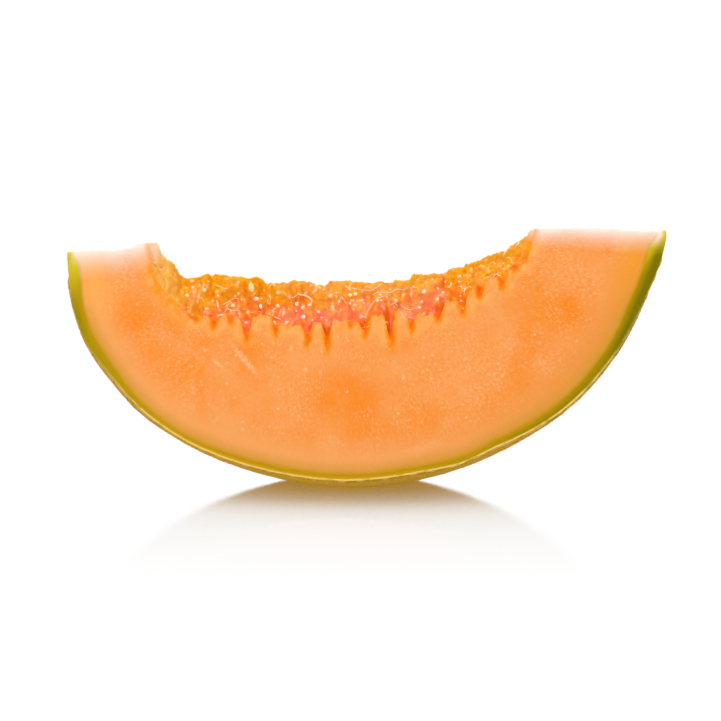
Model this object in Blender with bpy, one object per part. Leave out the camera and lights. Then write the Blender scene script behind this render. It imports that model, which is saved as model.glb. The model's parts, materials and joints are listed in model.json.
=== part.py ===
"""One wedge of a netted cantaloupe, as cut, resting on its rind.

The fruit lay along X, stem end at -X and blossom end at +X. Two straight cuts
meet in one line along the fruit, the cutting line, and everything below is
measured from that line: x along it, radius away from it, and angle round it,
zero straight down, negative towards the near cut face (-Y) and positive towards
the far one (+Y). The wedge is one closed solid: rind with its raised net, two
flat cut faces, blunt top edges, and the ragged hollow that the seeds left.

Metres, +Z up. The origin is the middle of the small flat spot it rests on.
"""

import math
import random
from collections import defaultdict

import bmesh
import bpy
import numpy as np
from mathutils import Matrix, Vector, noise
from mathutils.geometry import delaunay_2d_cdt

MM = 0.001

# Fruit: half lengths from the belly to each end, with the two exponents that
# make the stem end blunt and draw the blossom end out to a point.
BELLY_X = -5.0 * MM
BELLY_RADIUS = 71.9 * MM
STEM_END = (79.1 * MM, 1.59, 0.388)
BLOSSOM_END = (92.2 * MM, 2.105, 0.603)
# Gentle swells and pinches of the outline: bearing from the belly, width, height.
SWELLS = (
    (math.radians(-60), math.radians(7), -0.7 * MM),
    (math.radians(48), math.radians(12), 0.3 * MM),
    (math.radians(76), math.radians(8), -0.9 * MM),
)

# Cuts, and how the wedge stands: the blossom end is a little higher.
NEAR_CUT = math.radians(-23.5)
FAR_CUT = math.radians(27.5)
ROCK = math.radians(2.3)
FLAT_SPOT_DEPTH = 0.5 * MM
# The net is worn away where the wedge rests, and comes back over this distance.
WORN_REACH = 10.0 * MM
WORN_FADE = 7.0 * MM

# Raised net on the rind.
NET_SEED = 7
NET_CELL = 6.7 * MM
NET_JITTER = 0.36
NET_RIDGE_WIDTH = 1.9 * MM
NET_HEIGHT = 0.75 * MM
NET_SHORTEST_SIDE = 0.9 * MM
NET_UNEVENNESS = 0.45
NET_WAVELENGTH = 15.0 * MM
# Cells are laid out past the cut faces by this many cells, so that none is missing at the cuts.
NET_SPARE_CELLS = 1.6
# The net stops where the fruit narrows to this radius at each end.
BARE_END_RADIUS = 8.5 * MM
BARE_END_STEPS = 3

# Blunt top edges, as (x, radius) from each tip of the wedge to the hollow.
STEM_TOP_EDGE = (
    (-83.8, 2.6), (-80.0, 2.0), (-74.5, 2.1), (-69.0, 2.3), (-65.5, 1.8), (-62.5, 0.9), (-60.0, 0.6),
)
BLOSSOM_TOP_EDGE = (
    (50.5, 0.6), (56.0, 0.7), (62.0, 0.9), (68.5, 1.4), (75.5, 2.0), (82.0, 2.5), (86.9, 2.8),
)

# Seed hollow: middle and half length, then depth, exponents towards the stem
# and towards the blossom, where it meets the near and the far cut face.
HOLLOW_X = -4.6 * MM
HOLLOW_HALF_LENGTH = 53.2 * MM
HOLLOW_NEAR = (24.2 * MM, (4.0, 0.42), (2.0, 0.5))
HOLLOW_FAR = (16.6 * MM, (1.8, 0.25), (2.0, 0.62))
# The floor stays level from the near cut over this share of the way across, then rises.
WALL_RISE_START = 0.22
# Columns along the hollow. Past the outer pits they crowd towards its steep ends.
HOLLOW_STEP = 1.25 * MM
HOLLOW_END_STEPS = 7
HOLLOW_END_FIRST_STEP = 0.25
HOLLOW_END_CROWDING = 2
HOLLOW_ROWS = 18

# Pits between the teeth of the near rim, as (x, depth) in millimetres.
PITS = (
    (-47.0, 1.6), (-42.4, 3.0), (-37.4, 3.2), (-33.2, 4.6), (-24.9, 4.8), (-15.8, 6.4), (-10.1, 6.6),
    (-3.7, 2.4), (0.7, 4.6), (7.9, 6.4), (13.8, 4.0), (21.3, 2.6), (28.1, 3.6), (32.9, 2.4), (39.6, 3.6),
    (43.7, 2.6),
)
PIT_HALF_WIDTH = 1.35 * MM
PIT_FADE = 0.5
# Ragged pulp: height and length along the hollow, and how many fit across it.
LUMPS = (2.2 * MM, 6.0 * MM, 2.5)
SHREDS = (1.5 * MM, 2.7 * MM, 6.5)
# It is smoother where the hollow is shallower than this share of its full depth.
RAGGED_FROM = 0.5

OUTLINE_STEPS = 400
ON_PLANE = 1.0e-6
AT_END = 2.0e-6
WELD = 2.0e-5

FLESH = 0
PULP = 1
RIND = 2
MATERIALS = (
    ("ripe flesh", (0.90, 0.38, 0.10), 0.35),
    ("seed hollow pulp", (0.95, 0.28, 0.02), 0.18),
    ("netted rind", (0.52, 0.45, 0.16), 0.75),
)


def clear_scene():
    """Removes every object, so that the wedge is the only one."""
    for thing in list(bpy.data.objects):
        bpy.data.objects.remove(thing)


def bulb(side, height, powers):
    """Height of a rounded outline at a fraction of its reach, from -1 to 1."""
    power, root = powers
    return height * (1 - abs(side) ** power) ** root


def rind_outline(turn):
    """Place (x, radius) on the rind, for a turn from -90 (stem) to 90 degrees (blossom)."""
    side = math.sin(turn)
    reach, power, root = STEM_END if side < 0 else BLOSSOM_END
    x = reach * side
    radius = bulb(side, BELLY_RADIUS, (power, root))
    bearing = math.atan2(x, radius)
    scale = 1.0
    for place, width, height in SWELLS:
        scale += height / BELLY_RADIUS * math.exp(-(((bearing - place) / width) ** 2))
    return BELLY_X + x * scale, radius * scale


class Outline:
    """The rind's outline, looked up by the distance along it from the stem tip."""

    def __init__(self):
        turns = np.linspace(-math.pi / 2, math.pi / 2, OUTLINE_STEPS)
        points = np.array([rind_outline(turn) for turn in turns])
        steps = np.linalg.norm(np.diff(points, axis=0), axis=1)
        self.along = np.concatenate(([0.0], np.cumsum(steps)))
        self.x = points[:, 0]
        self.radius = points[:, 1]
        self.slope_x = np.gradient(self.x, self.along)
        self.slope_radius = np.gradient(self.radius, self.along)
        self.middle = self.along[int(np.argmax(self.radius))]
        height = self.x * math.sin(ROCK) - self.radius * math.cos(ROCK)
        self.resting = self.along[int(np.argmin(height))]

    def radius_at(self, along):
        """Radius at a distance along the outline."""
        return float(np.interp(along, self.along, self.radius))

    def along_at_radius(self, radius, end):
        """Distance along where the outline has this radius, near the end (-1 stem, 1 blossom)."""
        half = self.along <= self.middle if end < 0 else self.along >= self.middle
        order = np.argsort(self.radius[half])
        return float(np.interp(radius, self.radius[half][order], self.along[half][order]))

    def lifted(self, along, lift):
        """Place (x, radius) at a height above the rind, square to it."""
        x, radius, slope_x, slope_radius = (
            float(np.interp(along, self.along, values))
            for values in (self.x, self.radius, self.slope_x, self.slope_radius)
        )
        return x - lift * slope_radius, radius + lift * slope_x


def around(x, radius, angle):
    """Point at a place (x, radius) turned by an angle round the cutting line."""
    return Vector((x, radius * math.sin(angle), -radius * math.cos(angle)))


def net_sites(outline, start, end):
    """Scattered middles of the net's cells, on the rind laid out flat."""
    draw = random.Random(NET_SEED)
    row_step = NET_CELL * math.sqrt(3) / 2
    reach = BELLY_RADIUS * max(-NEAR_CUT, FAR_CUT) + 3 * NET_CELL
    rows = math.ceil(reach / row_step)
    columns = math.ceil((end - start) / NET_CELL) + 4
    sites = []
    for row in range(-rows, rows + 1):
        for column in range(-2, columns):
            along = start + (column + 0.5 * (row % 2) + NET_JITTER * draw.uniform(-1, 1)) * NET_CELL
            across = row * row_step + NET_JITTER * draw.uniform(-1, 1) * NET_CELL
            sites.append(Vector((along, across)))
    return sites


def inside_rind(site, outline):
    """Whether a cell's middle is on the wedge or just past its cuts."""
    radius = outline.radius_at(site.x)
    spare = NET_SPARE_CELLS * NET_CELL
    return radius * NEAR_CUT - spare < site.y < radius * FAR_CUT + spare


def net_sheet(mesh, outline, start, end):
    """The net laid out flat: one face for each cell, corners where three cells meet."""
    points, _, triangles, *_ = delaunay_2d_cdt(net_sites(outline, start, end), [], [], 0, ON_PLANE)
    middles = [sum((points[corner] for corner in triangle), Vector((0, 0))) / 3 for triangle in triangles]
    meeting = defaultdict(list)
    for number, triangle in enumerate(triangles):
        for corner in triangle:
            meeting[corner].append(number)
    corners = {}
    for site_number, numbers in meeting.items():
        site = points[site_number]
        if not inside_rind(site, outline):
            continue
        numbers.sort(key=lambda number: math.atan2(*(middles[number] - site).yx))
        for number in numbers:
            if number not in corners:
                corners[number] = mesh.verts.new(middles[number].to_3d())
        mesh.faces.new([corners[number] for number in numbers])
    bmesh.ops.remove_doubles(mesh, verts=mesh.verts[:], dist=NET_SHORTEST_SIDE)


def ease(value):
    """Smooth step from 0 to 1."""
    value = min(max(value, 0.0), 1.0)
    return value * value * (3 - 2 * value)


def raise_net(mesh, outline):
    """Sinks each cell, so that the lines between the cells stay up as ridges."""
    bmesh.ops.inset_individual(
        mesh,
        faces=mesh.faces[:],
        thickness=NET_RIDGE_WIDTH / 2,
        depth=-NET_HEIGHT,
        use_even_offset=True,
    )
    for vert in mesh.verts:
        from_rest = math.hypot(vert.co.x - outline.resting, vert.co.y)
        vert.co.z += NET_HEIGHT
        vert.co.z *= 1 + NET_UNEVENNESS * noise.noise(vert.co / NET_WAVELENGTH)
        vert.co.z *= ease((from_rest - WORN_REACH) / WORN_FADE)


def cut(mesh, place, normal):
    """Cuts the mesh with a plane and removes the side that the normal points to."""
    everything = mesh.verts[:] + mesh.edges[:] + mesh.faces[:]
    bmesh.ops.bisect_plane(
        mesh, geom=everything, dist=ON_PLANE, plane_co=place, plane_no=normal, clear_outer=True
    )


def make_rind(mesh, outline, start, end):
    """Wraps the net round the fruit and cuts it to the wedge. Returns the open edges at the two ends."""
    net_sheet(mesh, outline, start, end)
    raise_net(mesh, outline)
    cut(mesh, (start, 0, 0), (-1, 0, 0))
    cut(mesh, (end, 0, 0), (1, 0, 0))
    ends = [[], []]
    for edge in mesh.edges:
        for number, along in enumerate((start, end)):
            if all(abs(vert.co.x - along) < AT_END for vert in edge.verts):
                ends[number].append(edge)
    for vert in mesh.verts:
        along, across, lift = vert.co
        x, radius = outline.lifted(along, lift)
        vert.co = around(x, radius, across / outline.radius_at(along))
    for angle, side in ((NEAR_CUT, -1), (FAR_CUT, 1)):
        cut(mesh, (0, 0, 0), (0, side * math.cos(angle), side * math.sin(angle)))
    for face in mesh.faces:
        face.material_index = RIND
    return [[edge for edge in edges if edge.is_valid] for edges in ends]


def hollow_depth(x, form):
    """Depth of the seed hollow below the cutting line, without its pits and lumps."""
    depth, stem_powers, blossom_powers = form
    side = (x - HOLLOW_X) / HOLLOW_HALF_LENGTH
    return bulb(side, depth, stem_powers if side < 0 else blossom_powers)


def pulp_radius(x, across):
    """Radius of the ragged hollow at x, for across from 0 (near cut) to 1 (far cut)."""
    rise = ease((across - WALL_RISE_START) / (1 - WALL_RISE_START))
    near = hollow_depth(x, HOLLOW_NEAR)
    radius = near + (hollow_depth(x, HOLLOW_FAR) - near) * rise
    for place, depth in PITS:
        shape = math.exp(-(((x - place * MM) / PIT_HALF_WIDTH) ** 2))
        radius += depth * MM * shape * ease(1 - across / PIT_FADE)
    room = ease(near / (RAGGED_FROM * HOLLOW_NEAR[0]))
    for height, length, count in (LUMPS, SHREDS):
        radius += room * height * noise.noise(Vector((x / length, across * count, count)))
    return radius


def hollow_columns():
    """Places along the hollow: one in each pit, evenly spaced ones between, closer at its steep ends."""
    places = [place * MM for place, _ in PITS]
    columns = [places[-1]]
    for place, following in zip(places, places[1:]):
        steps = round((following - place) / HOLLOW_STEP)
        columns += [place + (following - place) * step / steps for step in range(steps)]
    stem_end = HOLLOW_X - HOLLOW_HALF_LENGTH
    blossom_end = HOLLOW_X + HOLLOW_HALF_LENGTH
    for step in range(HOLLOW_END_STEPS):
        part = ((step + HOLLOW_END_FIRST_STEP) / HOLLOW_END_STEPS) ** HOLLOW_END_CROWDING
        columns.append(stem_end + (places[0] - stem_end) * part)
        columns.append(blossom_end + (places[-1] - blossom_end) * part)
    return sorted(columns)


def bare_end(outline, along, tip):
    """Places (x, radius) on the rind without net, from the net's end out to the wedge's tip."""
    parts = [step / BARE_END_STEPS for step in range(1, BARE_END_STEPS + 1)]
    radii = [BARE_END_RADIUS + (tip - BARE_END_RADIUS) * part for part in parts]
    end = -1 if along < outline.middle else 1
    return [outline.lifted(outline.along_at_radius(radius, end), 0.0) for radius in radii]


def make_inside(mesh, outline, start, end):
    """Bare rind ends, top edges and seed hollow in one strip. Returns its two end edge chains."""
    stem_top = [(x * MM, radius * MM) for x, radius in STEM_TOP_EDGE]
    blossom_top = [(x * MM, radius * MM) for x, radius in BLOSSOM_TOP_EDGE]
    stem_rind = bare_end(outline, start, stem_top[0][1])
    blossom_rind = bare_end(outline, end, blossom_top[-1][1])[::-1]
    hollow = hollow_columns()
    columns = stem_rind[:-1] + stem_top + hollow + blossom_top + blossom_rind[1:]
    rows = []
    for column in columns:
        verts = []
        for row in range(HOLLOW_ROWS + 1):
            across = row / HOLLOW_ROWS
            angle = NEAR_CUT + (FAR_CUT - NEAR_CUT) * across
            x, radius = column if isinstance(column, tuple) else (column, pulp_radius(column, across))
            verts.append(mesh.verts.new(around(x, radius, angle)))
        rows.append(verts)
    for number, (left, right) in enumerate(zip(rows, rows[1:])):
        for row in range(HOLLOW_ROWS):
            face = mesh.faces.new((left[row], left[row + 1], right[row + 1], right[row]))
            face.material_index = PULP if isinstance(columns[number], float) else FLESH
    return [
        [mesh.edges.get(pair) for pair in zip(verts, verts[1:])]
        for verts in (rows[0], rows[-1])
    ]


def close_holes(mesh, material):
    """Fills every open loop with one flat face and splits it into triangles."""
    opening = [edge for edge in mesh.edges if edge.is_boundary]
    filled = bmesh.ops.holes_fill(mesh, edges=opening)["faces"]
    for face in filled:
        face.material_index = material
    bmesh.ops.triangulate(mesh, faces=filled)


def stand(mesh):
    """Tips the wedge to its stance and gives it the flat spot that it rests on."""
    bmesh.ops.rotate(mesh, verts=mesh.verts[:], matrix=Matrix.Rotation(-ROCK, 3, "Y"))
    lowest = min(vert.co.z for vert in mesh.verts)
    cut(mesh, (0, 0, lowest + FLAT_SPOT_DEPTH), (0, 0, -1))
    close_holes(mesh, RIND)
    bottom = min(vert.co.z for vert in mesh.verts)
    flat = [vert.co for vert in mesh.verts if vert.co.z < bottom + ON_PLANE]
    middle = sum(flat, Vector()) / len(flat)
    bmesh.ops.translate(mesh, verts=mesh.verts[:], vec=-middle)


def make_wedge():
    """The whole wedge as one closed mesh object."""
    outline = Outline()
    start = outline.along_at_radius(BARE_END_RADIUS, -1)
    end = outline.along_at_radius(BARE_END_RADIUS, 1)
    mesh = bmesh.new()
    rind_ends = make_rind(mesh, outline, start, end)
    inside_ends = make_inside(mesh, outline, start, end)
    for rind_edges, inside_edges in zip(rind_ends, inside_ends):
        joint = bmesh.ops.bridge_loops(mesh, edges=rind_edges + inside_edges)
        for face in joint["faces"]:
            face.material_index = RIND
    bmesh.ops.remove_doubles(mesh, verts=mesh.verts[:], dist=WELD)
    close_holes(mesh, FLESH)
    stand(mesh)
    bmesh.ops.recalc_face_normals(mesh, faces=mesh.faces[:])
    data = bpy.data.meshes.new("melon_wedge")
    mesh.to_mesh(data)
    mesh.free()
    wedge = bpy.data.objects.new("melon_wedge", data)
    bpy.context.scene.collection.objects.link(wedge)
    return wedge


def add_materials(wedge):
    """Plain finishes for the flesh, the pulp and the rind, in the order of the face numbers."""
    for name, colour, roughness in MATERIALS:
        material = bpy.data.materials.new(name)
        material.use_nodes = True
        shader = material.node_tree.nodes["Principled BSDF"]
        shader.inputs["Base Color"].default_value = (*colour, 1)
        shader.inputs["Roughness"].default_value = roughness
        shader.inputs["Metallic"].default_value = 0.0
        wedge.data.materials.append(material)


clear_scene()
add_materials(make_wedge())
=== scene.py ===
"""Looks of one cut wedge of a netted cantaloupe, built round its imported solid.

The wedge is laid out in the fruit's own measures, as its solid is: x along the
cutting line, radius away from that line, and angle round it, zero straight down,
negative towards the near cut face. Stance turns those into the row frame.
"""

import json
import logging
import math
import random
from collections import defaultdict
from dataclasses import dataclass, field
from enum import Enum
from functools import cached_property

import bpy
import numpy as np
from mathutils import Matrix, Vector, kdtree, noise
from mathutils.bvhtree import BVHTree
from mathutils.geometry import delaunay_2d_cdt

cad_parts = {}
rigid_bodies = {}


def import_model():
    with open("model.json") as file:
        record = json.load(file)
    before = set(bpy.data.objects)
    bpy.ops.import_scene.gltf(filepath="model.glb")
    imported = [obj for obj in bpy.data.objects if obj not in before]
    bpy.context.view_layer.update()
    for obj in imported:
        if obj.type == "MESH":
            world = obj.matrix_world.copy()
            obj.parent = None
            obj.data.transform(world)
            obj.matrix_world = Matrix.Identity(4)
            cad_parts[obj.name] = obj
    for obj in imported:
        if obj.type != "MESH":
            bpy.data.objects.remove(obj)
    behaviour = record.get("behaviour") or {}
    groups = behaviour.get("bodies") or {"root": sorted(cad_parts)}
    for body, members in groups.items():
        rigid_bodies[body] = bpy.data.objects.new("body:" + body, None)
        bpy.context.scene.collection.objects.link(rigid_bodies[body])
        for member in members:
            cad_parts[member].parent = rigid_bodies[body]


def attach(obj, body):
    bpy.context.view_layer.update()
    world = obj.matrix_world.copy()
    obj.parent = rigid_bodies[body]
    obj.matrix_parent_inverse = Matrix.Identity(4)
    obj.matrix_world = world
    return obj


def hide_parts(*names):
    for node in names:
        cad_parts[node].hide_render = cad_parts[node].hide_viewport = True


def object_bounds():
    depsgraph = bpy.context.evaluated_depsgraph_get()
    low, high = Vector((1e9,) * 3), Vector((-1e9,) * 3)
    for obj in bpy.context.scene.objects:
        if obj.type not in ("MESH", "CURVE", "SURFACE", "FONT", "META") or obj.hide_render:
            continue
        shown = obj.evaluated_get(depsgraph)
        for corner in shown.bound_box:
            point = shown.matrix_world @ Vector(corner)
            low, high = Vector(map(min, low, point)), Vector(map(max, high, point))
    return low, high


for thing in list(bpy.data.objects):
    bpy.data.objects.remove(thing)
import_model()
cad_low, cad_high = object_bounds()

MM = 0.001
NODE = "melon_wedge"
BODY = "root"
DEPTH_LAYER = "rind_depth"
HOLLOW_LAYER = "hollow_distance"
TOP_LAYER = "top_distance"
STAIN_LAYER = "juice_stain"
RELIEF_LAYER = "relief"
GRAIN_MAP = "grain"
WHITE = (1.0, 1.0, 1.0, 1.0)

Socket = bpy.types.NodeSocket
Triple = tuple[float, float, float]
Pairs = tuple[tuple[float, float], ...]

log = logging.getLogger("melon")


class Skin(Enum):
    """What a face of the wedge shows, as its place in the list of finishes."""

    FLESH = 0
    PULP = 1
    RIND = 2


def smooth_step(values: np.ndarray) -> np.ndarray:
    """Eases values from 0 to 1, level at both ends.

    Args:
        values: Any numbers; those outside 0 to 1 are held at the ends.

    Returns:
        The eased numbers.
    """
    held = np.clip(values, 0.0, 1.0)
    return held * held * (3 - 2 * held)


def noise_at(points: np.ndarray, size: float, offset: float = 0.0) -> np.ndarray:
    """Smooth noise between -1 and 1.

    Args:
        points: One row of three coordinates for each point.
        size: Width of one lump, in the points' unit.
        offset: Moves the pattern, so that two patterns differ.

    Returns:
        One value for each point.
    """
    return np.array([noise.noise(point) for point in (points / size + offset).tolist()])


def cell_gap_at(points: np.ndarray, size: float) -> np.ndarray:
    """How far each point is from the border of its random cell, 0 on the border.

    Args:
        points: One row of three coordinates for each point.
        size: Width of one cell, in the points' unit.

    Returns:
        One value for each point, in cell widths.
    """
    gaps = []
    for point in (points / size).tolist():
        distances, _ = noise.voronoi(point)
        gaps.append(distances[1] - distances[0])
    return np.array(gaps)


def tree_of(points: list) -> kdtree.KDTree:
    """Search tree of points, numbered in their order."""
    tree = kdtree.KDTree(len(points))
    for number, point in enumerate(points):
        tree.insert(point, number)
    tree.balance()
    return tree


def put_in_scene(name: str, data: bpy.types.ID) -> bpy.types.Object:
    """Makes an object of this data and links it to the scene."""
    thing = bpy.data.objects.new(name, data)
    bpy.context.scene.collection.objects.link(thing)
    return thing


def smooth_object(name: str, points: list, faces: list) -> bpy.types.Object:
    """Makes a smooth mesh object of points, and of faces that hold their points' numbers."""
    data = bpy.data.meshes.new(name)
    data.from_pydata(points, [], faces)
    data.polygons.foreach_set("use_smooth", np.ones(len(faces), dtype=bool))
    return put_in_scene(name, data)


def select_only(thing: bpy.types.Object) -> None:
    """Makes one object the only selected one and the active one."""
    bpy.ops.object.select_all(action="DESELECT")
    bpy.context.view_layer.objects.active = thing
    thing.select_set(True)


@dataclass(frozen=True)
class Stance:
    """How the wedge stands: its blossom end rocked up, over the spot it rests on."""

    rock: float = math.radians(2.3)
    line_middle: Triple = (3.2300 * MM, 0.2818 * MM, 71.5544 * MM)

    @property
    def turn(self) -> np.ndarray:
        """How the fruit's measures are turned in the row frame."""
        return np.array(Matrix.Rotation(-self.rock, 3, "Y"))

    def place(self, points: np.ndarray) -> np.ndarray:
        """Turns points from the fruit's measures into the row frame.

        Args:
            points: One row of three coordinates for each point.

        Returns:
            The same rows in the row frame.
        """
        return points @ self.turn.T + np.array(self.line_middle)


@dataclass(frozen=True)
class Camera:
    """The camera, as it stood for the picture."""

    azimuth: float = math.radians(1.5)
    pitch: float = math.radians(9.0)
    distance: float = 0.86
    seen_width: float = 0.207
    sensor: float = 36.0
    picture_width: int = 721
    aim: Triple = (3.230 * MM, 0.282 * MM, 34.954 * MM)

    @property
    def back(self) -> Vector:
        """Direction from the aim to the camera."""
        level = math.cos(self.pitch)
        side = math.sin(self.azimuth) * level
        return Vector((side, -math.cos(self.azimuth) * level, math.sin(self.pitch)))

    @property
    def place(self) -> Vector:
        """Where the camera stands."""
        return Vector(self.aim) + self.back * self.distance

    @property
    def turn(self) -> Matrix:
        """How the camera is turned."""
        return (-self.back).to_track_quat("-Z", "Y").to_matrix()

    def towards(self, across: float, down: float) -> Vector:
        """Direction from the camera through a place in the picture, in pixels."""
        half = self.picture_width / 2
        pixel = self.seen_width / self.picture_width
        return self.turn @ Vector(((across - half) * pixel, (half - down) * pixel, -self.distance))

    def on_cut(self, seen: Pairs, stance: Stance, angle: float) -> tuple[np.ndarray, np.ndarray]:
        """Where places in the picture lie on a cut face, to a tenth of a millimetre.

        Args:
            seen: The places, in pixels.
            stance: How the wedge stands.
            angle: The cut face's angle round the cutting line.

        Returns:
            x and radius of each place.
        """
        start = (np.array(self.place) - np.array(stance.line_middle)) @ stance.turn
        ways = np.array([self.towards(*place) for place in seen]) @ stance.turn
        square = np.array((0.0, math.cos(angle), math.sin(angle)))
        outward = np.array((0.0, math.sin(angle), -math.cos(angle)))
        places = start - ways * ((start @ square) / (ways @ square))[:, None]
        return tuple(np.round(values / MM, 1) * MM for values in (places[:, 0], places @ outward))

    def make(self) -> None:
        """Sets the camera up and makes it the scene's own."""
        data = bpy.data.cameras.new("camera")
        data.sensor_width = self.sensor
        data.lens = self.sensor * self.distance / self.seen_width
        data.clip_start = 0.01
        camera = put_in_scene("camera", data)
        camera.location = self.place
        camera.rotation_euler = self.turn.to_euler()
        bpy.context.scene.camera = camera


@dataclass
class Fruit:
    """The whole fruit that the wedge was cut from, as the outline of its rind."""

    belly_x: float = -5.0 * MM
    belly_radius: float = 71.9 * MM
    stem_end: Triple = (79.1 * MM, 1.59, 0.388)
    blossom_end: Triple = (92.2 * MM, 2.105, 0.603)
    swells: tuple[Triple, ...] = (
        (math.radians(-60), math.radians(7), -0.7 * MM),
        (math.radians(48), math.radians(12), 0.3 * MM),
        (math.radians(76), math.radians(8), -0.9 * MM),
    )
    steps: int = 2000

    def __post_init__(self) -> None:
        """Works out the outline once, point by point from the stem tip."""
        side = np.sin(np.linspace(-math.pi / 2, math.pi / 2, self.steps))
        stem_x, stem_radius = self.half(side, self.stem_end)
        blossom_x, blossom_radius = self.half(side, self.blossom_end)
        x = np.where(side < 0, stem_x, blossom_x)
        radius = np.where(side < 0, stem_radius, blossom_radius)
        bearing = np.arctan2(x, radius)
        scale = np.ones(self.steps)
        for place, width, height in self.swells:
            scale += height / self.belly_radius * np.exp(-(((bearing - place) / width) ** 2))
        self.x = self.belly_x + x * scale
        self.radius = radius * scale
        lengths = np.hypot(np.diff(self.x), np.diff(self.radius))
        self.along = np.concatenate(([0.0], np.cumsum(lengths)))
        self.slope_x = np.gradient(self.x, self.along)
        self.slope_radius = np.gradient(self.radius, self.along)

    def half(self, side: np.ndarray, end: Triple) -> tuple[np.ndarray, np.ndarray]:
        """One end's outline before its swells, as (x, radius)."""
        reach, power, root = end
        height = np.clip(1 - np.abs(side) ** power, 0.0, 1.0) ** root
        return reach * side, self.belly_radius * height

    def along_at_radius(self, radius: float, blossom: bool) -> float:
        """Distance along the outline where it has this radius, near the named end."""
        middle = int(np.argmax(self.radius))
        half = slice(middle, None) if blossom else slice(0, middle)
        order = np.argsort(self.radius[half])
        return float(np.interp(radius, self.radius[half][order], self.along[half][order]))

    def lifted(self, along: np.ndarray, lift: np.ndarray) -> tuple[np.ndarray, np.ndarray]:
        """Places on the rind raised square to it.

        Args:
            along: Distances along the outline from the stem tip.
            lift: Heights above the rind.

        Returns:
            x and radius of each place.
        """
        x, radius, slope_x, slope_radius = (
            np.interp(along, self.along, values)
            for values in (self.x, self.radius, self.slope_x, self.slope_radius)
        )
        return x - lift * slope_radius, radius + lift * slope_x

    def depth_of(self, x: np.ndarray, radius: np.ndarray) -> np.ndarray:
        """Depth of places (x, radius) below the bare rind, less than 0 in the net above it."""
        tree = tree_of([(a, b, 0.0) for a, b in zip(self.x, self.radius)])
        nearest = [tree.find((a, b, 0.0))[1:] for a, b in zip(x.tolist(), radius.tolist())]
        numbers = np.array([number for number, _ in nearest])
        distance = np.array([distance for _, distance in nearest])
        inward_x = self.slope_radius[numbers] * (x - self.x[numbers])
        inward_radius = self.slope_x[numbers] * (radius - self.radius[numbers])
        return distance * np.sign(inward_x - inward_radius)

    @property
    def resting(self) -> float:
        """Distance along the outline of the place that the rocked wedge rests on."""
        rock = Stance().rock
        return float(self.along[int(np.argmin(self.x * math.sin(rock) - self.radius * math.cos(rock)))])


@dataclass
class RaisedNet:
    """The corky net on the rind, laid out flat as (along, across)."""

    fruit: Fruit
    reach: float
    seed: int = 7
    cell: float = 6.7 * MM
    jitter: float = 0.36
    height: float = 0.42 * MM
    half_width: float = 1.12 * MM
    width_change: float = 0.28
    width_change_size: float = 5.0 * MM
    cord_power: float = 0.75
    unevenness: float = 0.45
    wavelength: float = 15.0 * MM
    wander: float = 0.55 * MM
    wander_size: float = 3.4 * MM
    cord_step: float = 0.15 * MM
    bare_radius: float = 8.5 * MM
    bare_fade: float = 3.0 * MM
    worn_reach: float = 10.0 * MM
    worn_fade: float = 7.0 * MM
    fine_cell: float = 2.3 * MM
    fine_height: float = 0.13 * MM
    fine_width: float = 0.2
    fine_cork: float = 0.45
    cork_size: float = 0.8 * MM
    cork_height: float = 0.1 * MM

    def sites(self) -> list[Vector]:
        """Scattered middles of the cells, row by row."""
        draw = random.Random(self.seed)
        start = self.fruit.along_at_radius(self.bare_radius, False)
        end = self.fruit.along_at_radius(self.bare_radius, True)
        row_step = self.cell * math.sqrt(3) / 2
        rows = math.ceil((self.reach + 3 * self.cell) / row_step)
        found = []
        for row in range(-rows, rows + 1):
            for column in range(-2, math.ceil((end - start) / self.cell) + 4):
                shift = column + 0.5 * (row % 2) + self.jitter * draw.uniform(-1, 1)
                across = row * row_step + self.jitter * draw.uniform(-1, 1) * self.cell
                found.append(Vector((start + shift * self.cell, across)))
        return found

    def cords(self) -> kdtree.KDTree:
        """Close points along every cord of the net, ready to be searched."""
        points, _, triangles, *_ = delaunay_2d_cdt(self.sites(), [], [], 0, 1e-6)
        middles = [
            sum((points[corner] for corner in corners), Vector((0, 0))) / 3 for corners in triangles
        ]
        beside = defaultdict(list)
        for number, (a, b, c) in enumerate(triangles):
            for pair in ((a, b), (b, c), (c, a)):
                beside[tuple(sorted(pair))].append(number)
        found = []
        for pair in beside.values():
            if len(pair) < 2:
                continue
            first, second = (middles[number] for number in pair)
            count = max(2, math.ceil((second - first).length / self.cord_step))
            found += [first.lerp(second, step / count) for step in range(count)]
        return tree_of([point.to_3d() for point in found])

    def relief(self, along: np.ndarray, across: np.ndarray) -> tuple[np.ndarray, np.ndarray]:
        """Height of the rind's relief at places on the rind laid out flat.

        Args:
            along: Distances along the outline from the stem tip.
            across: Distances across from the plane straight down.

        Returns:
            The height of each place, and how far it is cork, from 0 to 1.
        """
        flat = np.stack((along, across, np.zeros(len(along))), axis=1)
        tree = self.cords()
        sways = [noise_at(flat, self.wander_size, offset) for offset in (3.1, 17.7)]
        wandered = flat + self.wander * np.stack((*sways, np.zeros(len(along))), axis=1)
        distance = np.array([tree.find(point)[2] for point in wandered.tolist()])
        width = self.half_width * (1 + self.width_change * noise_at(flat, self.width_change_size, 41.0))
        cord = np.clip(1 - (distance / width) ** 2, 0.0, 1.0) ** self.cord_power
        radius = np.interp(along, self.fruit.along, self.fruit.radius)
        bare = smooth_step((radius - self.bare_radius) / self.bare_fade)
        away = np.hypot(along - self.fruit.resting, across)
        worn = smooth_step((away - self.worn_reach) / self.worn_fade)
        present = bare * worn * (1 + self.unevenness * noise_at(flat, self.wavelength))
        fine = np.clip(1 - cell_gap_at(flat, self.fine_cell) / self.fine_width, 0.0, 1.0)
        cork = self.cork_height * noise_at(flat, self.cork_size, 7.0) * cord
        height = present * (self.height * cord + cork + self.fine_height * fine * (1 - cord))
        return height, np.clip(present, 0.0, 1.0) * np.maximum(cord, self.fine_cork * fine)


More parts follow.
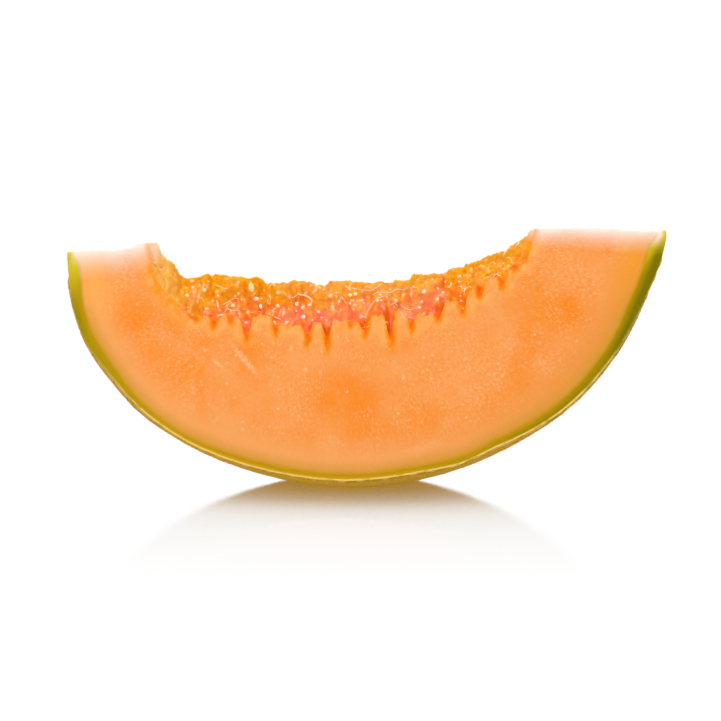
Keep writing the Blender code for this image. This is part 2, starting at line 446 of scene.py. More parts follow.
@dataclass(frozen=True)
class RimForm:
    """One rim of the seed hollow: how deep, and per end its length and two powers of its curve."""

    depth: float
    stem: Triple
    blossom: Triple


@dataclass
class SeedHollow:
    """The ragged hollow that the seeds left, as a radius over x and the way across.

    near_seen and far_seen are its two torn rims as places in the picture, in pixels.
    Each pit has its x and its depth, in millimetres.
    """

    stance: Stance
    near_cut: float
    far_cut: float
    middle_x: float = -4.6 * MM
    near: RimForm = RimForm(24.2 * MM, (56.1 * MM, 4.0, 0.42), (54.2 * MM, 2.1, 0.5))
    near_seen: Pairs = (
        (148.5, 243.25), (149.5, 250), (150.5, 262), (153, 272), (158, 283), (166, 292), (173, 299),
        (178, 306), (184, 312), (190, 318), (197, 321), (203, 318), (207, 316), (211, 322), (214, 325),
        (218, 321), (222, 314), (227, 314), (231, 320), (235, 316), (240, 319), (244, 329), (247, 336),
        (250, 329), (252, 318), (258, 316), (266, 316), (272, 317), (275, 331), (278, 320), (282, 325),
        (290, 326), (300, 325), (304, 330), (308, 337), (312, 328), (315, 322), (321, 322), (324, 333),
        (327, 341), (330, 332), (333, 321), (337, 320), (340, 323), (345, 320), (350, 323), (354, 324),
        (358, 322), (362, 329), (365, 333), (368, 322), (372, 317), (384, 315), (387, 329), (390, 338),
        (393, 326), (396, 312), (405, 310), (408, 318), (411, 328), (414, 318), (418, 314), (427, 316),
        (434, 313), (437, 318), (441, 315), (445, 303), (452, 301), (458, 300), (461, 307), (464, 311),
        (467, 297), (470, 288), (476, 287), (479, 294), (482, 297), (485, 282), (490, 277), (500, 278),
        (504, 286), (508, 272), (515, 266), (522, 265), (527, 261), (529.5, 250), (534.5, 229),
    )
    far_seen: Pairs = (
        (156.5, 242.5), (158.5, 244), (160, 250), (163, 256), (167, 260.5), (172, 262), (176, 267),
        (178, 273), (181, 276), (188, 279), (193, 278), (200, 276), (207, 274), (213, 275), (220, 274),
        (230, 277), (240, 276), (247, 278), (257, 277), (263, 280), (267, 284), (273, 283), (288, 283),
        (295, 280.5), (307, 282), (317, 285), (325, 286), (330, 281), (350, 281), (376, 283), (380, 281),
        (390, 283), (396, 280), (410, 280), (413, 274), (430, 274.5), (447, 274), (448, 269), (464, 267),
        (465, 264), (473, 263), (480, 260), (490, 255), (497, 252.5), (505, 251), (509, 248.5), (515, 243),
        (520, 240), (527, 237), (529, 232), (534.5, 228.75),
    )
    rim_softness: float = 0.25 * MM
    rim_reach: float = 0.13
    least_radius: float = 0.45 * MM
    wall_rise_start: float = 0.22
    pits: Pairs = (
        (-47.0, 1.6), (-42.4, 3.0), (-37.4, 3.2), (-33.2, 4.6), (-24.9, 4.8), (-15.8, 6.4),
        (-10.1, 6.6), (-3.7, 2.4), (0.7, 4.6), (7.9, 6.4), (13.8, 4.0), (21.3, 2.6),
        (28.1, 3.6), (32.9, 2.4), (39.6, 3.6), (43.7, 2.6),
    )
    pit_fade: float = 0.5
    end_tear: float = 0.7 * MM
    lumps: tuple[float, float, float, float] = (2.0 * MM, 6.0 * MM, 2.5, 0.0)
    shreds: tuple[float, float, float, float] = (1.4 * MM, 2.7 * MM, 6.5, 0.1)
    tatters: tuple[float, float, float, float] = (0.8 * MM, 1.1 * MM, 9.0, 0.6)
    ragged_from: float = 0.5
    column_step: float = 0.3 * MM
    stain_width: float = 1.25 * MM
    stain_reach: float = 1.15
    stain_sway: float = 0.5 * MM
    stain_sway_size: float = 1.5 * MM
    lean: float = 0.4 * MM
    lean_size: float = 4.0 * MM
    end_tear_size: float = 1.9 * MM
    end_reach: float = 4.0 * MM
    tear_map_width: float = 12.0 * MM

    def __post_init__(self) -> None:
        """Reads both torn rims off the picture, where they lie on the cut faces."""
        self.near_rim = Camera().on_cut(self.near_seen, self.stance, self.near_cut)
        self.far_rim = Camera().on_cut(self.far_seen, self.stance, self.far_cut)

    def depth(self, x: np.ndarray, form: RimForm) -> np.ndarray:
        """Depth below the cutting line along one rim, without pits and lumps."""
        side = x - self.middle_x
        stem, blossom = (
            np.clip(1 - np.abs(side / length) ** power, 0.0, 1.0) ** root
            for length, power, root in (form.stem, form.blossom)
        )
        return form.depth * np.where(side < 0, stem, blossom)

    def radius(self, x: np.ndarray, across: np.ndarray) -> np.ndarray:
        """Radius of the torn pulp.

        Args:
            x: Places along the cutting line.
            across: Shares of the way from the near cut face to the far one.

        Returns:
            The radius of each place.
        """
        rise = smooth_step((across - self.wall_rise_start) / (1 - self.wall_rise_start))
        lean = self.lean * noise_at(np.stack((x / self.lean_size, across * 4, x * 0), axis=1), 1.0)
        swayed = x + lean * smooth_step(across / self.rim_reach)
        even = self.depth(x, self.near)
        radius = even + (self.rim(x, self.far_rim) - even) * rise
        pits = self.rim(swayed, self.near_rim) - even
        radius = radius + pits * smooth_step(1 - across / self.pit_fade)
        return np.maximum(radius + self.raggedness(x, across), self.least_radius)

    def rim(self, x: np.ndarray, outline: tuple[np.ndarray, np.ndarray]) -> np.ndarray:
        """Depth of a torn rim along its outline, with its corners softened a little."""
        steps = (-self.rim_softness, 0.0, 0.0, self.rim_softness)
        return sum(np.interp(x + step, *outline) for step in steps) / len(steps)

    def raggedness(self, x: np.ndarray, across: np.ndarray) -> np.ndarray:
        """Lumps and shreds of the torn pulp, as an addition to its radius."""
        room = smooth_step(self.depth(x, self.near) / (self.ragged_from * self.near.depth))
        added = np.zeros(len(x))
        inside = smooth_step(np.minimum(across, 1 - across) / self.rim_reach)
        for height, length, count, least in (self.lumps, self.shreds, self.tatters):
            places = np.stack((x / length, across * count, np.full(len(x), count)), axis=1)
            added += room * height * (least + (1 - least) * inside) * noise_at(places, 1.0)
        torn = noise_at(np.stack((x, across * self.tear_map_width, x * 0), axis=1), self.end_tear_size, 4.4)
        end = smooth_step(self.depth(x, self.near) / self.end_reach)
        return added + (1 - room) * end * self.end_tear * torn

    def stain(self, x: np.ndarray, below: np.ndarray) -> np.ndarray:
        """How far juice has coloured the cut flesh under the pits, from 0 to 1.

        Args:
            x: Places along the cutting line.
            below: Distances from the hollow.

        Returns:
            The share of each place.
        """
        share = np.zeros(len(x))
        for place, depth in self.pits:
            rows = np.stack((below, below * 0, below * 0 + place), axis=1)
            sway = self.stain_sway * noise_at(rows, self.stain_sway_size)
            width = np.exp(-(((x + sway - place * MM) / self.stain_width) ** 2))
            share = np.maximum(share, width * smooth_step(1 - below / (depth * MM * self.stain_reach)))
        return share

    def columns(self) -> np.ndarray:
        """Places along the hollow, evenly spaced along its curved floor."""
        turn = np.sin(np.linspace(-math.pi / 2, math.pi / 2, 4000))
        x = self.middle_x + turn * np.where(turn < 0, self.near.stem[0], self.near.blossom[0])
        lengths = np.hypot(np.diff(x), np.diff(self.depth(x, self.near)))
        along = np.concatenate(([0.0], np.cumsum(lengths)))
        count = round(along[-1] / self.column_step)
        return np.interp(np.linspace(0, along[-1], count)[1:-1], along, x)


@dataclass
class PulpGrain:
    """The fine wet grain of the torn pulp: vesicles, fibres and small pits."""

    vesicle_size: float = 2.6 * MM
    vesicle_height: float = 0.7 * MM
    small_vesicle_size: float = 1.3 * MM
    small_vesicle_height: float = 0.22 * MM
    fibre_width: float = 0.8 * MM
    fibre_length: float = 5.0 * MM
    fibre_height: float = 0.28 * MM
    fibre_wander: float = 1.5 * MM
    fibre_wander_size: float = 4.0 * MM
    fine_size: float = 0.7 * MM
    fine_height: float = 0.05 * MM
    reach: float = 0.7 * MM

    def height(self, points: np.ndarray) -> np.ndarray:
        """Height of the grain, square to the surface.

        Args:
            points: Places on the pulp in the fruit's measures.

        Returns:
            One height for each place.
        """
        sways = [noise_at(points, self.fibre_wander_size, offset) for offset in (0.0, 9.2, 21.4)]
        moved = points + self.fibre_wander * np.stack(sways, axis=1)
        stretched = moved / np.array((self.fibre_width, self.fibre_length, self.fibre_length))
        fibres = 1 - np.abs(noise_at(stretched, 1.0, 5.5)) * 2
        bumps = np.sqrt(np.clip(cell_gap_at(moved, self.vesicle_size), 0.0, 1.0)) - 0.5
        small = np.sqrt(np.clip(cell_gap_at(points, self.small_vesicle_size), 0.0, 1.0)) - 0.5
        return (
            self.vesicle_height * bumps
            + self.small_vesicle_height * small
            + self.fibre_height * fibres
            + self.fine_height * noise_at(points, self.fine_size, 2.2)
        )


@dataclass
class WedgeMesh:
    """The mesh of the wedge while it is put together, in the fruit's measures."""

    points: list[np.ndarray] = field(default_factory=list)
    count: int = 0
    faces: list[tuple[int, ...]] = field(default_factory=list)
    skins: list[int] = field(default_factory=list)

    def add_points(self, rows: np.ndarray) -> range:
        """Adds points and gives their numbers."""
        self.points.append(rows)
        first = self.count
        self.count += len(rows)
        return range(first, self.count)

    def add_face(self, corners: tuple[int, ...], skin: Skin) -> None:
        """Adds one face and what it shows."""
        self.faces.append(corners)
        self.skins.append(skin.value)

    def zip_columns(self, left: range, right: range, skin: Skin) -> None:
        """Joins two neighbouring columns of points, which may differ in number.

        Args:
            left: Numbers of one column's points, near cut first.
            right: Numbers of the next column's points.
            skin: What the faces between them show.
        """
        if len(left) == len(right):
            for row in range(len(left) - 1):
                self.add_face((left[row], left[row + 1], right[row + 1], right[row]), skin)
            return
        a = 0
        b = 0
        while a < len(left) - 1 or b < len(right) - 1:
            next_a = (a + 1) / (len(left) - 1) if a < len(left) - 1 else 2.0
            next_b = (b + 1) / (len(right) - 1) if b < len(right) - 1 else 2.0
            if next_a <= next_b:
                self.add_face((left[a], left[a + 1], right[b]), skin)
                a += 1
            else:
                self.add_face((left[a], right[b + 1], right[b]), skin)
                b += 1


@dataclass
class MelonWedge:
    """One wedge as cut: netted rind, two cut faces, blunt top edges and torn seed hollow.

    The tables of its top edges and its swell give x and a radius or height, in millimetres.
    """

    fruit: Fruit
    stance: Stance
    near_cut: float = math.radians(-23.5)
    far_cut: float = math.radians(27.5)
    stem_top_edge: Pairs = (
        (-83.8, 2.6), (-80.0, 2.0), (-74.5, 2.1), (-69.0, 2.3), (-66.5, 1.8), (-64.0, 1.0), (-62.2, 0.5),
        (-60.9, 0.5),
    )
    blossom_top_edge: Pairs = (
        (50.5, 0.6), (56.0, 0.7), (62.0, 0.9), (68.5, 1.4), (75.5, 2.0), (82.0, 2.5), (86.9, 2.8),
    )
    rind_step: float = 0.47 * MM
    edge_step: float = 0.7 * MM
    hollow_step: float = 0.27 * MM
    fewest_rows: int = 6
    face_step: float = 1.05 * MM
    fine_face_step: float = 0.6 * MM
    fine_face_reach: float = 8.0 * MM
    face_margin: float = 0.35 * MM
    depth_rows: tuple[float, ...] = (0.3, 0.6, 1.0, 1.5, 2.0, 2.6, 3.4)
    rows_margin: float = 0.5
    depth_row_step: float = 0.9 * MM
    fibre_scale: float = 60.0 * MM
    rim_swell: Pairs = (
        (-76.0, -0.3), (-66.0, -0.3), (-60.0, 0.0), (-50.0, 0.6), (-40.0, 0.6), (-25.0, 0.3),
        (-10.0, 0.0), (15.0, 0.0), (26.0, 0.8), (36.0, 0.1), (46.0, 0.6), (54.0, 0.9), (62.0, 0.8),
        (69.0, 0.4), (77.0, 0.2),
    )
    rim_swell_from: float = math.radians(11)
    edge_roughness: float = 0.22 * MM
    edge_roughness_size: float = 2.4 * MM
    grain_fade: float = 10.0 * MM
    rim_fade: float = 0.04
    pulp_map_width: float = 20.0 * MM

    def build(self) -> bpy.types.Object:
        """Models the whole wedge as one closed mesh at its place.

        Returns:
            The finished object, still without materials.
        """
        self.mesh = WedgeMesh()
        self.hollow = SeedHollow(self.stance, self.near_cut, self.far_cut)
        self.columns: list[range] = []
        self.kinds: list[Skin] = []
        self.relief: list[np.ndarray] = []
        self.grain: list[np.ndarray] = []
        self.add_rind()
        self.add_inside()
        self.join_columns()
        for angle, end in ((self.near_cut, 0), (self.far_cut, -1)):
            self.add_cut_face(angle, end)
        return self.finish()

    def rows_for(self, width: float, step: float) -> int:
        """How many points a column takes across this width."""
        return max(self.fewest_rows, round(width / step) + 1)

    def around(self, x: np.ndarray, radius: np.ndarray, angle: np.ndarray) -> np.ndarray:
        """Points at places (x, radius) turned by an angle round the cutting line."""
        return np.stack((x, radius * np.sin(angle), -radius * np.cos(angle)), axis=1)

    def add_rind(self) -> None:
        """Lays the columns of the netted rind, from the stem tip to the blossom tip."""
        fruit = self.fruit
        start = fruit.along_at_radius(self.stem_top_edge[0][1] * MM, False)
        end = fruit.along_at_radius(self.blossom_top_edge[-1][1] * MM, True)
        places = np.linspace(start, end, round((end - start) / self.rind_step))
        net = RaisedNet(fruit, fruit.belly_radius * max(-self.near_cut, self.far_cut))
        spread = self.far_cut - self.near_cut
        widths = np.interp(places, fruit.along, fruit.radius) * spread
        counts = [self.rows_for(width, self.rind_step) for width in widths]
        along = np.repeat(places, counts)
        angle = np.concatenate([np.linspace(self.near_cut, self.far_cut, count) for count in counts])
        across = angle * np.interp(along, fruit.along, fruit.radius)
        lift, cork = net.relief(along, across)
        lift = lift + self.swell(np.interp(along, fruit.along, fruit.x), angle)
        x, radius = fruit.lifted(along, lift)
        numbers = self.mesh.add_points(self.around(x, radius, angle))
        self.keep_columns(numbers, counts, Skin.RIND)
        self.relief.append(cork)
        self.grain.append(np.stack((along, across), axis=1))

    def swell(self, x: np.ndarray, angle: np.ndarray) -> np.ndarray:
        """How much fuller the rind is towards the near cut than the fruit's even outline."""
        xs, heights = zip(*self.rim_swell)
        reach = smooth_step((angle + self.rim_swell_from) / (self.near_cut + self.rim_swell_from))
        return np.interp(x / MM, xs, heights) * MM * reach

    def add_inside(self) -> None:
        """Lays the columns of the top edges and the hollow, back from blossom to stem."""
        self.add_top_edge(self.blossom_top_edge)
        self.add_hollow(self.hollow.columns()[::-1])
        self.add_top_edge(self.stem_top_edge)

    def add_top_edge(self, edge: Pairs) -> None:
        """Lays the columns of one blunt top edge, from its +X end."""
        xs, radii = (np.array(values) * MM for values in zip(*edge))
        places = np.linspace(xs[-1], xs[0], round((xs[-1] - xs[0]) / self.edge_step))
        places = places[1:] if xs[0] > 0 else places[:-1]
        radius = np.interp(places, xs, radii)
        rows = np.stack((places, radius, radius), axis=1)
        rough = self.edge_roughness * noise_at(rows, self.edge_roughness_size)
        rough[[0, -1]] = 0.0
        counts = [self.fewest_rows] * len(places)
        across = np.tile(np.linspace(0, 1, self.fewest_rows), len(places))
        x = np.repeat(places, self.fewest_rows)
        angle = self.near_cut + (self.far_cut - self.near_cut) * across
        numbers = self.mesh.add_points(self.around(x, np.repeat(radius + rough, self.fewest_rows), angle))
        self.keep_columns(numbers, counts, Skin.FLESH)
        self.relief.append(np.zeros(len(x)))
        self.grain.append(np.stack((x, across * MM), axis=1))

    def add_hollow(self, places: np.ndarray) -> None:
        """Lays the columns of the torn seed hollow, with their fine grain."""
        spread = self.far_cut - self.near_cut
        widths = self.hollow.depth(places, self.hollow.near) * spread
        counts = [self.rows_for(width, self.hollow_step) for width in widths]
        x = np.repeat(places, counts)
        across = np.concatenate([np.linspace(0, 1, count) for count in counts])
        angle = self.near_cut + spread * across
        radius = self.hollow.radius(x, across)
        points = self.around(x, radius, angle)
        room = smooth_step(radius / self.grain_fade)
        height = room * PulpGrain().height(points)
        normals = self.sheet_normals(points, counts)
        rim = smooth_step(np.minimum(across, 1 - across) / self.rim_fade)[:, None]
        outward = self.around(np.zeros(len(x)), np.ones(len(x)), angle)
        points = points + height[:, None] * (normals * rim - outward * (1 - rim))
        numbers = self.mesh.add_points(points)
        self.keep_columns(numbers, counts, Skin.PULP)
        self.relief.append(np.clip(0.5 + height / (2 * PulpGrain.reach), 0.0, 1.0))
        self.grain.append(np.stack((x, across * self.pulp_map_width), axis=1))
        self.hollow_numbers = numbers

    def sheet_normals(self, points: np.ndarray, counts: list[int]) -> np.ndarray:
        """Which way each point of a sheet of columns faces, towards the cutting line.

        Args:
            points: All points, column after column.
            counts: How many points each column has.

        Returns:
            One unit vector for each point.
        """
        starts = np.concatenate(([0], np.cumsum(counts)))
        share = np.concatenate([np.linspace(0, 1, count) for count in counts])
        column = np.repeat(np.arange(len(counts)), counts)
        before = np.clip(column - 1, 0, len(counts) - 1)
        after = np.clip(column + 1, 0, len(counts) - 1)
        sizes = np.array(counts)
        number_before = starts[before] + np.round(share * (sizes[before] - 1)).astype(int)
        number_after = starts[after] + np.round(share * (sizes[after] - 1)).astype(int)
        row = np.arange(len(points)) - starts[column]
        lower = np.arange(len(points)) - (row > 0)
        upper = np.arange(len(points)) + (row < sizes[column] - 1)
        normals = np.cross(points[number_after] - points[number_before], points[upper] - points[lower])
        inward = -points * np.array((0.0, 1.0, 1.0))
        normals *= np.sign(np.sum(normals * inward, axis=1))[:, None]
        return normals / np.maximum(np.linalg.norm(normals, axis=1), 1e-12)[:, None]

    def keep_columns(self, numbers: range, counts: list[int], skin: Skin) -> None:
        """Remembers the columns of a sheet and what they show."""
        first = numbers.start
        for count in counts:
            self.columns.append(range(first, first + count))
            self.kinds.append(skin)
            first += count

    def join_columns(self) -> None:
        """Joins every column to the next one, all the way round the wedge."""
        for number, (left, kind) in enumerate(zip(self.columns, self.kinds)):
            following = (number + 1) % len(self.columns)
            skin = kind if kind is self.kinds[following] else Skin.FLESH
            self.mesh.zip_columns(left, self.columns[following], skin)

    def add_cut_face(self, angle: float, end: int) -> None:
        """Fills one cut face with points close enough to carry its bands of colour.

        Args:
            angle: The face's angle round the cutting line.
            end: Which end of each column lies on this face, 0 or -1.
        """
        rim = [column[end] for column in self.columns]
        points = np.concatenate(self.mesh.points)[rim]
        loop = np.stack((points[:, 0], np.hypot(points[:, 1], points[:, 2])), axis=1)
        inner = self.face_places(loop, end == 0)
        given = [Vector(place) for place in np.concatenate((loop, inner)).tolist()]
        found, _, triangles, origins, *_ = delaunay_2d_cdt(given, [], [list(range(len(rim)))], 1, 1e-7)
        places = np.array([tuple(place) for place in found])
        numbers = {}
        fresh = [number for number, origin in enumerate(origins) if not origin or origin[0] >= len(rim)]
        added = self.mesh.add_points(
            self.around(places[fresh, 0], places[fresh, 1], np.full(len(fresh), angle))
        )
        numbers.update(zip(fresh, added))
        for number, origin in enumerate(origins):
            if origin and min(origin) < len(rim):
                numbers[number] = rim[min(origin)]
        for corners in triangles:
            self.mesh.add_face(tuple(numbers[corner] for corner in corners), Skin.FLESH)
        self.relief.append(np.zeros(len(fresh)))
        middle = places[fresh] - np.array((self.fruit.belly_x, 0.0))
        bearing = np.arctan2(middle[:, 0], middle[:, 1])
        self.grain.append(np.stack((bearing * self.fibre_scale, np.hypot(*middle.T)), axis=1))

    def face_places(self, loop: np.ndarray, fine: bool) -> np.ndarray:
        """Places inside a cut face: rows just under the rind, then an even spread.

        Args:
            loop: The face's rim as (x, radius), in order.
            fine: Whether the spread is closer by the hollow.

        Returns:
            The places as (x, radius).
        """
        fruit = self.fruit
        rows = []
        for depth in self.depth_rows:
            along = np.arange(fruit.along[0], fruit.along[-1], self.depth_row_step)
            rows.append(np.stack(fruit.lifted(along, np.full(len(along), -depth * MM)), axis=1))
        spread = self.spread_over(loop, self.face_step)
        if fine:
            close = self.spread_over(loop, self.fine_face_step)
            reach = self.fine_face_reach
            kept = spread[self.past_hollow(spread) > reach]
            spread = np.concatenate((kept, close[self.past_hollow(close) <= reach]))
        deep = fruit.depth_of(spread[:, 0], spread[:, 1]) > (self.depth_rows[-1] + self.rows_margin) * MM
        places = np.concatenate(rows + [spread[deep]])
        return places[self.inside(places, loop)]

    def past_hollow(self, places: np.ndarray) -> np.ndarray:
        """How much further from the cutting line each place is than the hollow's near rim."""
        return places[:, 1] - self.hollow.depth(places[:, 0], self.hollow.near)

    def spread_over(self, loop: np.ndarray, step: float) -> np.ndarray:
        """An even spread of places over the box round a loop."""
        low, high = loop.min(axis=0), loop.max(axis=0)
        xs = np.arange(low[0], high[0], step)
        radii = np.arange(low[1], high[1], step * math.sqrt(3) / 2)
        rows = enumerate(radii)
        return np.array([(x + 0.5 * (row % 2) * step, radius) for row, radius in rows for x in xs])

    def inside(self, places: np.ndarray, loop: np.ndarray) -> np.ndarray:
        """Which places lie inside a loop and clear of it."""
        following = np.roll(loop, -1, axis=0)
        crossings = np.zeros(len(places), dtype=int)
        for (x1, y1), (x2, y2) in zip(loop, following):
            if y1 == y2:
                continue
            between = (places[:, 1] > y1) != (places[:, 1] > y2)
            crossings += between & (places[:, 0] < (x2 - x1) * (places[:, 1] - y1) / (y2 - y1) + x1)
        tree = tree_of([(x, y, 0.0) for x, y in loop.tolist()])
        gap = np.array([tree.find((x, y, 0.0))[2] for x, y in places.tolist()])
        return (crossings % 2 == 1) & (gap > self.face_margin)

    def finish(self) -> bpy.types.Object:
        """Makes the object, keeps its measures on it and trims it to the solid's box."""
        points = np.concatenate(self.mesh.points)
        wedge = smooth_object("melon_wedge_skin", points.tolist(), self.mesh.faces)
        data = wedge.data
        data.polygons.foreach_set("material_index", self.mesh.skins)
        self.keep_measures(data, points)
        placed = self.stance.place(points)
        low, high = np.array(cad_low), np.array(cad_high)
        data.vertices.foreach_set("co", np.clip(placed, low, high).ravel())
        self.turn_outward(wedge)
        self.mark_edges(data)
        return wedge

    def keep_measures(self, data: bpy.types.Mesh, points: np.ndarray) -> None:
        """Stores what the finishes read: distances in millimetres, and the grain map."""
        radius = np.hypot(points[:, 1], points[:, 2])
        turned = np.arctan2(points[:, 1], -points[:, 2])
        tree = tree_of(points[list(self.hollow_numbers)])
        below = np.array([tree.find(point)[2] for point in points.tolist()])
        depth = self.fruit.depth_of(points[:, 0], radius) + self.swell(points[:, 0], turned)
        layers = {
            DEPTH_LAYER: depth / MM,
            HOLLOW_LAYER: below / MM,
            STAIN_LAYER: self.hollow.stain(points[:, 0], below),
            TOP_LAYER: radius / MM - self.top_radius(points[:, 0]),
            RELIEF_LAYER: np.concatenate(self.relief),
        }
        for name, values in layers.items():
            layer = data.attributes.new(name, "FLOAT", "POINT")
            layer.data.foreach_set("value", values.astype(np.float32))
        grain = np.concatenate(self.grain)
        corners = np.zeros(len(data.loops), dtype=np.int32)
        data.loops.foreach_get("vertex_index", corners)
        flat = data.uv_layers.new(name=GRAIN_MAP).data
        flat.foreach_set("uv", grain[corners].astype(np.float32).ravel())

    def top_radius(self, x: np.ndarray) -> np.ndarray:
        """Radius of the blunt top edges at places along the cutting line, in millimetres."""
        xs, radii = zip(*(self.stem_top_edge + self.blossom_top_edge))
        return np.interp(x / MM, xs, radii)

    def turn_outward(self, wedge: bpy.types.Object) -> None:
        """Turns every face outwards, as with the recalculate command in edit mode."""
        select_only(wedge)
        bpy.ops.object.mode_set(mode="EDIT")
        bpy.ops.mesh.select_all(action="SELECT")
        bpy.ops.mesh.normals_make_consistent(inside=False)
        bpy.ops.mesh.select_all(action="DESELECT")
        bpy.ops.object.mode_set(mode="OBJECT")

    def mark_edges(self, data: bpy.types.Mesh) -> None:
        """Marks the edges that the knife left as sharp."""
        rims = set()
        for end in (0, -1):
            numbers = [column[end] for column in self.columns]
            rims.update(frozenset(pair) for pair in zip(numbers, numbers[1:] + numbers[:1]))
        ends = np.zeros(len(data.edges) * 2, dtype=np.int32)
        data.edges.foreach_get("vertices", ends)
        sharp = [frozenset(pair) in rims for pair in ends.reshape(-1, 2).tolist()]
        data.attributes.new("sharp_edge", "BOOLEAN", "EDGE").data.foreach_set("value", sharp)


def tint(red: int, green: int, blue: int) -> tuple[float, float, float, float]:
    """Gives a colour as seen on a screen, 0 to 255 each, in the shader's own values."""
    parts = (part / 255 for part in (red, green, blue))
    linear = (part / 12.92 if part <= 0.04045 else ((part + 0.055) / 1.055) ** 2.4 for part in parts)
    return (*linear, 1.0)


class NodeSheet:
    """A node tree with short ways to add its nodes and join them."""

    def __init__(self, tree: bpy.types.NodeTree) -> None:
        """Keeps the tree that the nodes go into."""
        self.tree = tree

    def add(self, kind: str, inputs: dict | None = None, **settings: object) -> bpy.types.Node:
        """Adds one node.

        Args:
            kind: The node's type.
            inputs: For each input's name or number, a value or the socket that feeds it.
            settings: The node's own properties.

        Returns:
            The new node.
        """
        node = self.tree.nodes.new(kind)
        for name, value in settings.items():
            setattr(node, name, value)
        self.feed(node, inputs or {})
        return node

    def feed(self, node: bpy.types.Node, inputs: dict) -> None:
        """Gives a node's inputs, by name or number, their values or the sockets that feed them."""
        for name, value in inputs.items():
            if isinstance(value, Socket):
                self.tree.links.new(value, node.inputs[name])
            else:
                node.inputs[name].default_value = value

    def measure(self, name: str) -> Socket:
        """Reads one of the wedge's measures."""
        return self.add("ShaderNodeAttribute", attribute_name=name).outputs["Fac"]

    @cached_property
    def here(self) -> Socket:
        """Place on the object, in metres."""
        return self.stretched((1.0, 1.0, 1.0))

    @cached_property
    def x(self) -> Socket:
        """Place along the object's length, in metres."""
        return self.axis(self.here, "X")

    @cached_property
    def depth(self) -> Socket:
        """Depth below the rind, in millimetres."""
        return self.measure(DEPTH_LAYER)

    @cached_property
    def hollow(self) -> Socket:
        """Distance from the seed hollow, in millimetres."""
        return self.measure(HOLLOW_LAYER)

    @cached_property
    def top(self) -> Socket:
        """Distance below the blunt top edges, in millimetres."""
        return self.measure(TOP_LAYER)

    def stretched(self, scale: Triple) -> Socket:
        """Place on the object, in metres, stretched by a scale."""
        source = self.add("ShaderNodeTexCoord").outputs["Object"]
        return self.add("ShaderNodeMapping", {"Vector": source, "Scale": scale}).outputs["Vector"]

    def grain_place(self, scale: Triple) -> Socket:
        """Place on the grain map, in metres, stretched by a scale."""
        source = self.add("ShaderNodeUVMap", uv_map=GRAIN_MAP).outputs["UV"]
        return self.add("ShaderNodeMapping", {"Vector": source, "Scale": scale}).outputs["Vector"]

    def axis(self, vector: Socket, name: str) -> Socket:
        """One coordinate of a vector."""
        return self.add("ShaderNodeSeparateXYZ", {"Vector": vector}).outputs[name]

    def calculate(self, operation: str, *values: object) -> Socket:
        """Result of one sum on values or sockets."""
        return self.add("ShaderNodeMath", dict(enumerate(values)), operation=operation).outputs[0]

    def times(self, first: object, second: object) -> Socket:
        """Product of two values or sockets."""
        return self.calculate("MULTIPLY", first, second)

    def over(self, first: object, second: object) -> Socket:
        """The first value or socket divided by the second."""
        return self.calculate("DIVIDE", first, second)

    def plus(self, first: object, second: object) -> Socket:
        """Sum of two values or sockets."""
        return self.calculate("ADD", first, second)

    def minus(self, first: object, second: object) -> Socket:
        """The first value or socket less the second."""
        return self.calculate("SUBTRACT", first, second)

    def bump(self, height: Socket, distance: float, strength: float) -> Socket:
        """Normal of a surface with a fine relief."""
        inputs = {"Height": height, "Distance": distance, "Strength": strength}
        return self.add("ShaderNodeBump", inputs).outputs["Normal"]

    def share(
        self,
        value: object,
        start: float,
        end: float,
        low: float = 0.0,
        high: float = 1.0,
    ) -> Socket:
        """Eases from low to high as the value goes from start to end."""
        inputs = {"Value": value, "From Min": start, "From Max": end, "To Min": low, "To Max": high}
        return self.add("ShaderNodeMapRange", inputs, interpolation_type="SMOOTHSTEP").outputs["Result"]

    def blend(self, share: object, first: object, second: object, kind: str = "MIX") -> Socket:
        """Mixes two colours, the second by the given share."""
        node = self.add("ShaderNodeMix", data_type="RGBA", blend_type=kind)
        self.feed(node, {0: share, 6: first, 7: second})
        return node.outputs[2]

    def lumps(
        self,
        size: float,
        detail: float,
        twist: float = 0.0,
        vector: Socket | None = None,
    ) -> Socket:
        """Noise from 0 to 1 with lumps of a size, laid over the object or over another vector."""
        place = self.here if vector is None else vector
        inputs = {"Vector": place, "Scale": 1 / size, "Detail": detail, "Distortion": twist}
        return self.add("ShaderNodeTexNoise", inputs).outputs["Fac"]

    def cells(self, size: float) -> bpy.types.Node:
        """Random cells of a size, all over the object."""
        return self.add("ShaderNodeTexVoronoi", {"Vector": self.here, "Scale": 1 / size})

    def bands(self, value: Socket, reach: float, stops: tuple, smooth: bool = True) -> Socket:
        """Colours laid over a value.

        Args:
            value: What the colours follow, from 0 to reach.
            reach: Where the last colour may lie.
            stops: Pairs of a value and the colour there, lowest first.
            smooth: Whether the colours ease into each other.

        Returns:
            The colour.
        """
        share = self.over(value, reach)
        node = self.add("ShaderNodeValToRGB", {"Fac": share})
        node.color_ramp.interpolation = "EASE" if smooth else "LINEAR"
        points = node.color_ramp.elements
        for _ in stops[2:]:
            points.new(0.5)
        for point, (place, colour) in zip(points, stops):
            point.position = place / reach
        for point, (_, colour) in zip(points, stops):
            point.color = colour
        return node.outputs["Color"]


def new_finish(name: str) -> tuple[bpy.types.Material, NodeSheet, bpy.types.Node]:
    """Starts a material, and gives it with its node sheet and its shader."""
    material = bpy.data.materials.new(name)
    material.use_nodes = True
    return material, NodeSheet(material.node_tree), material.node_tree.nodes["Principled BSDF"]


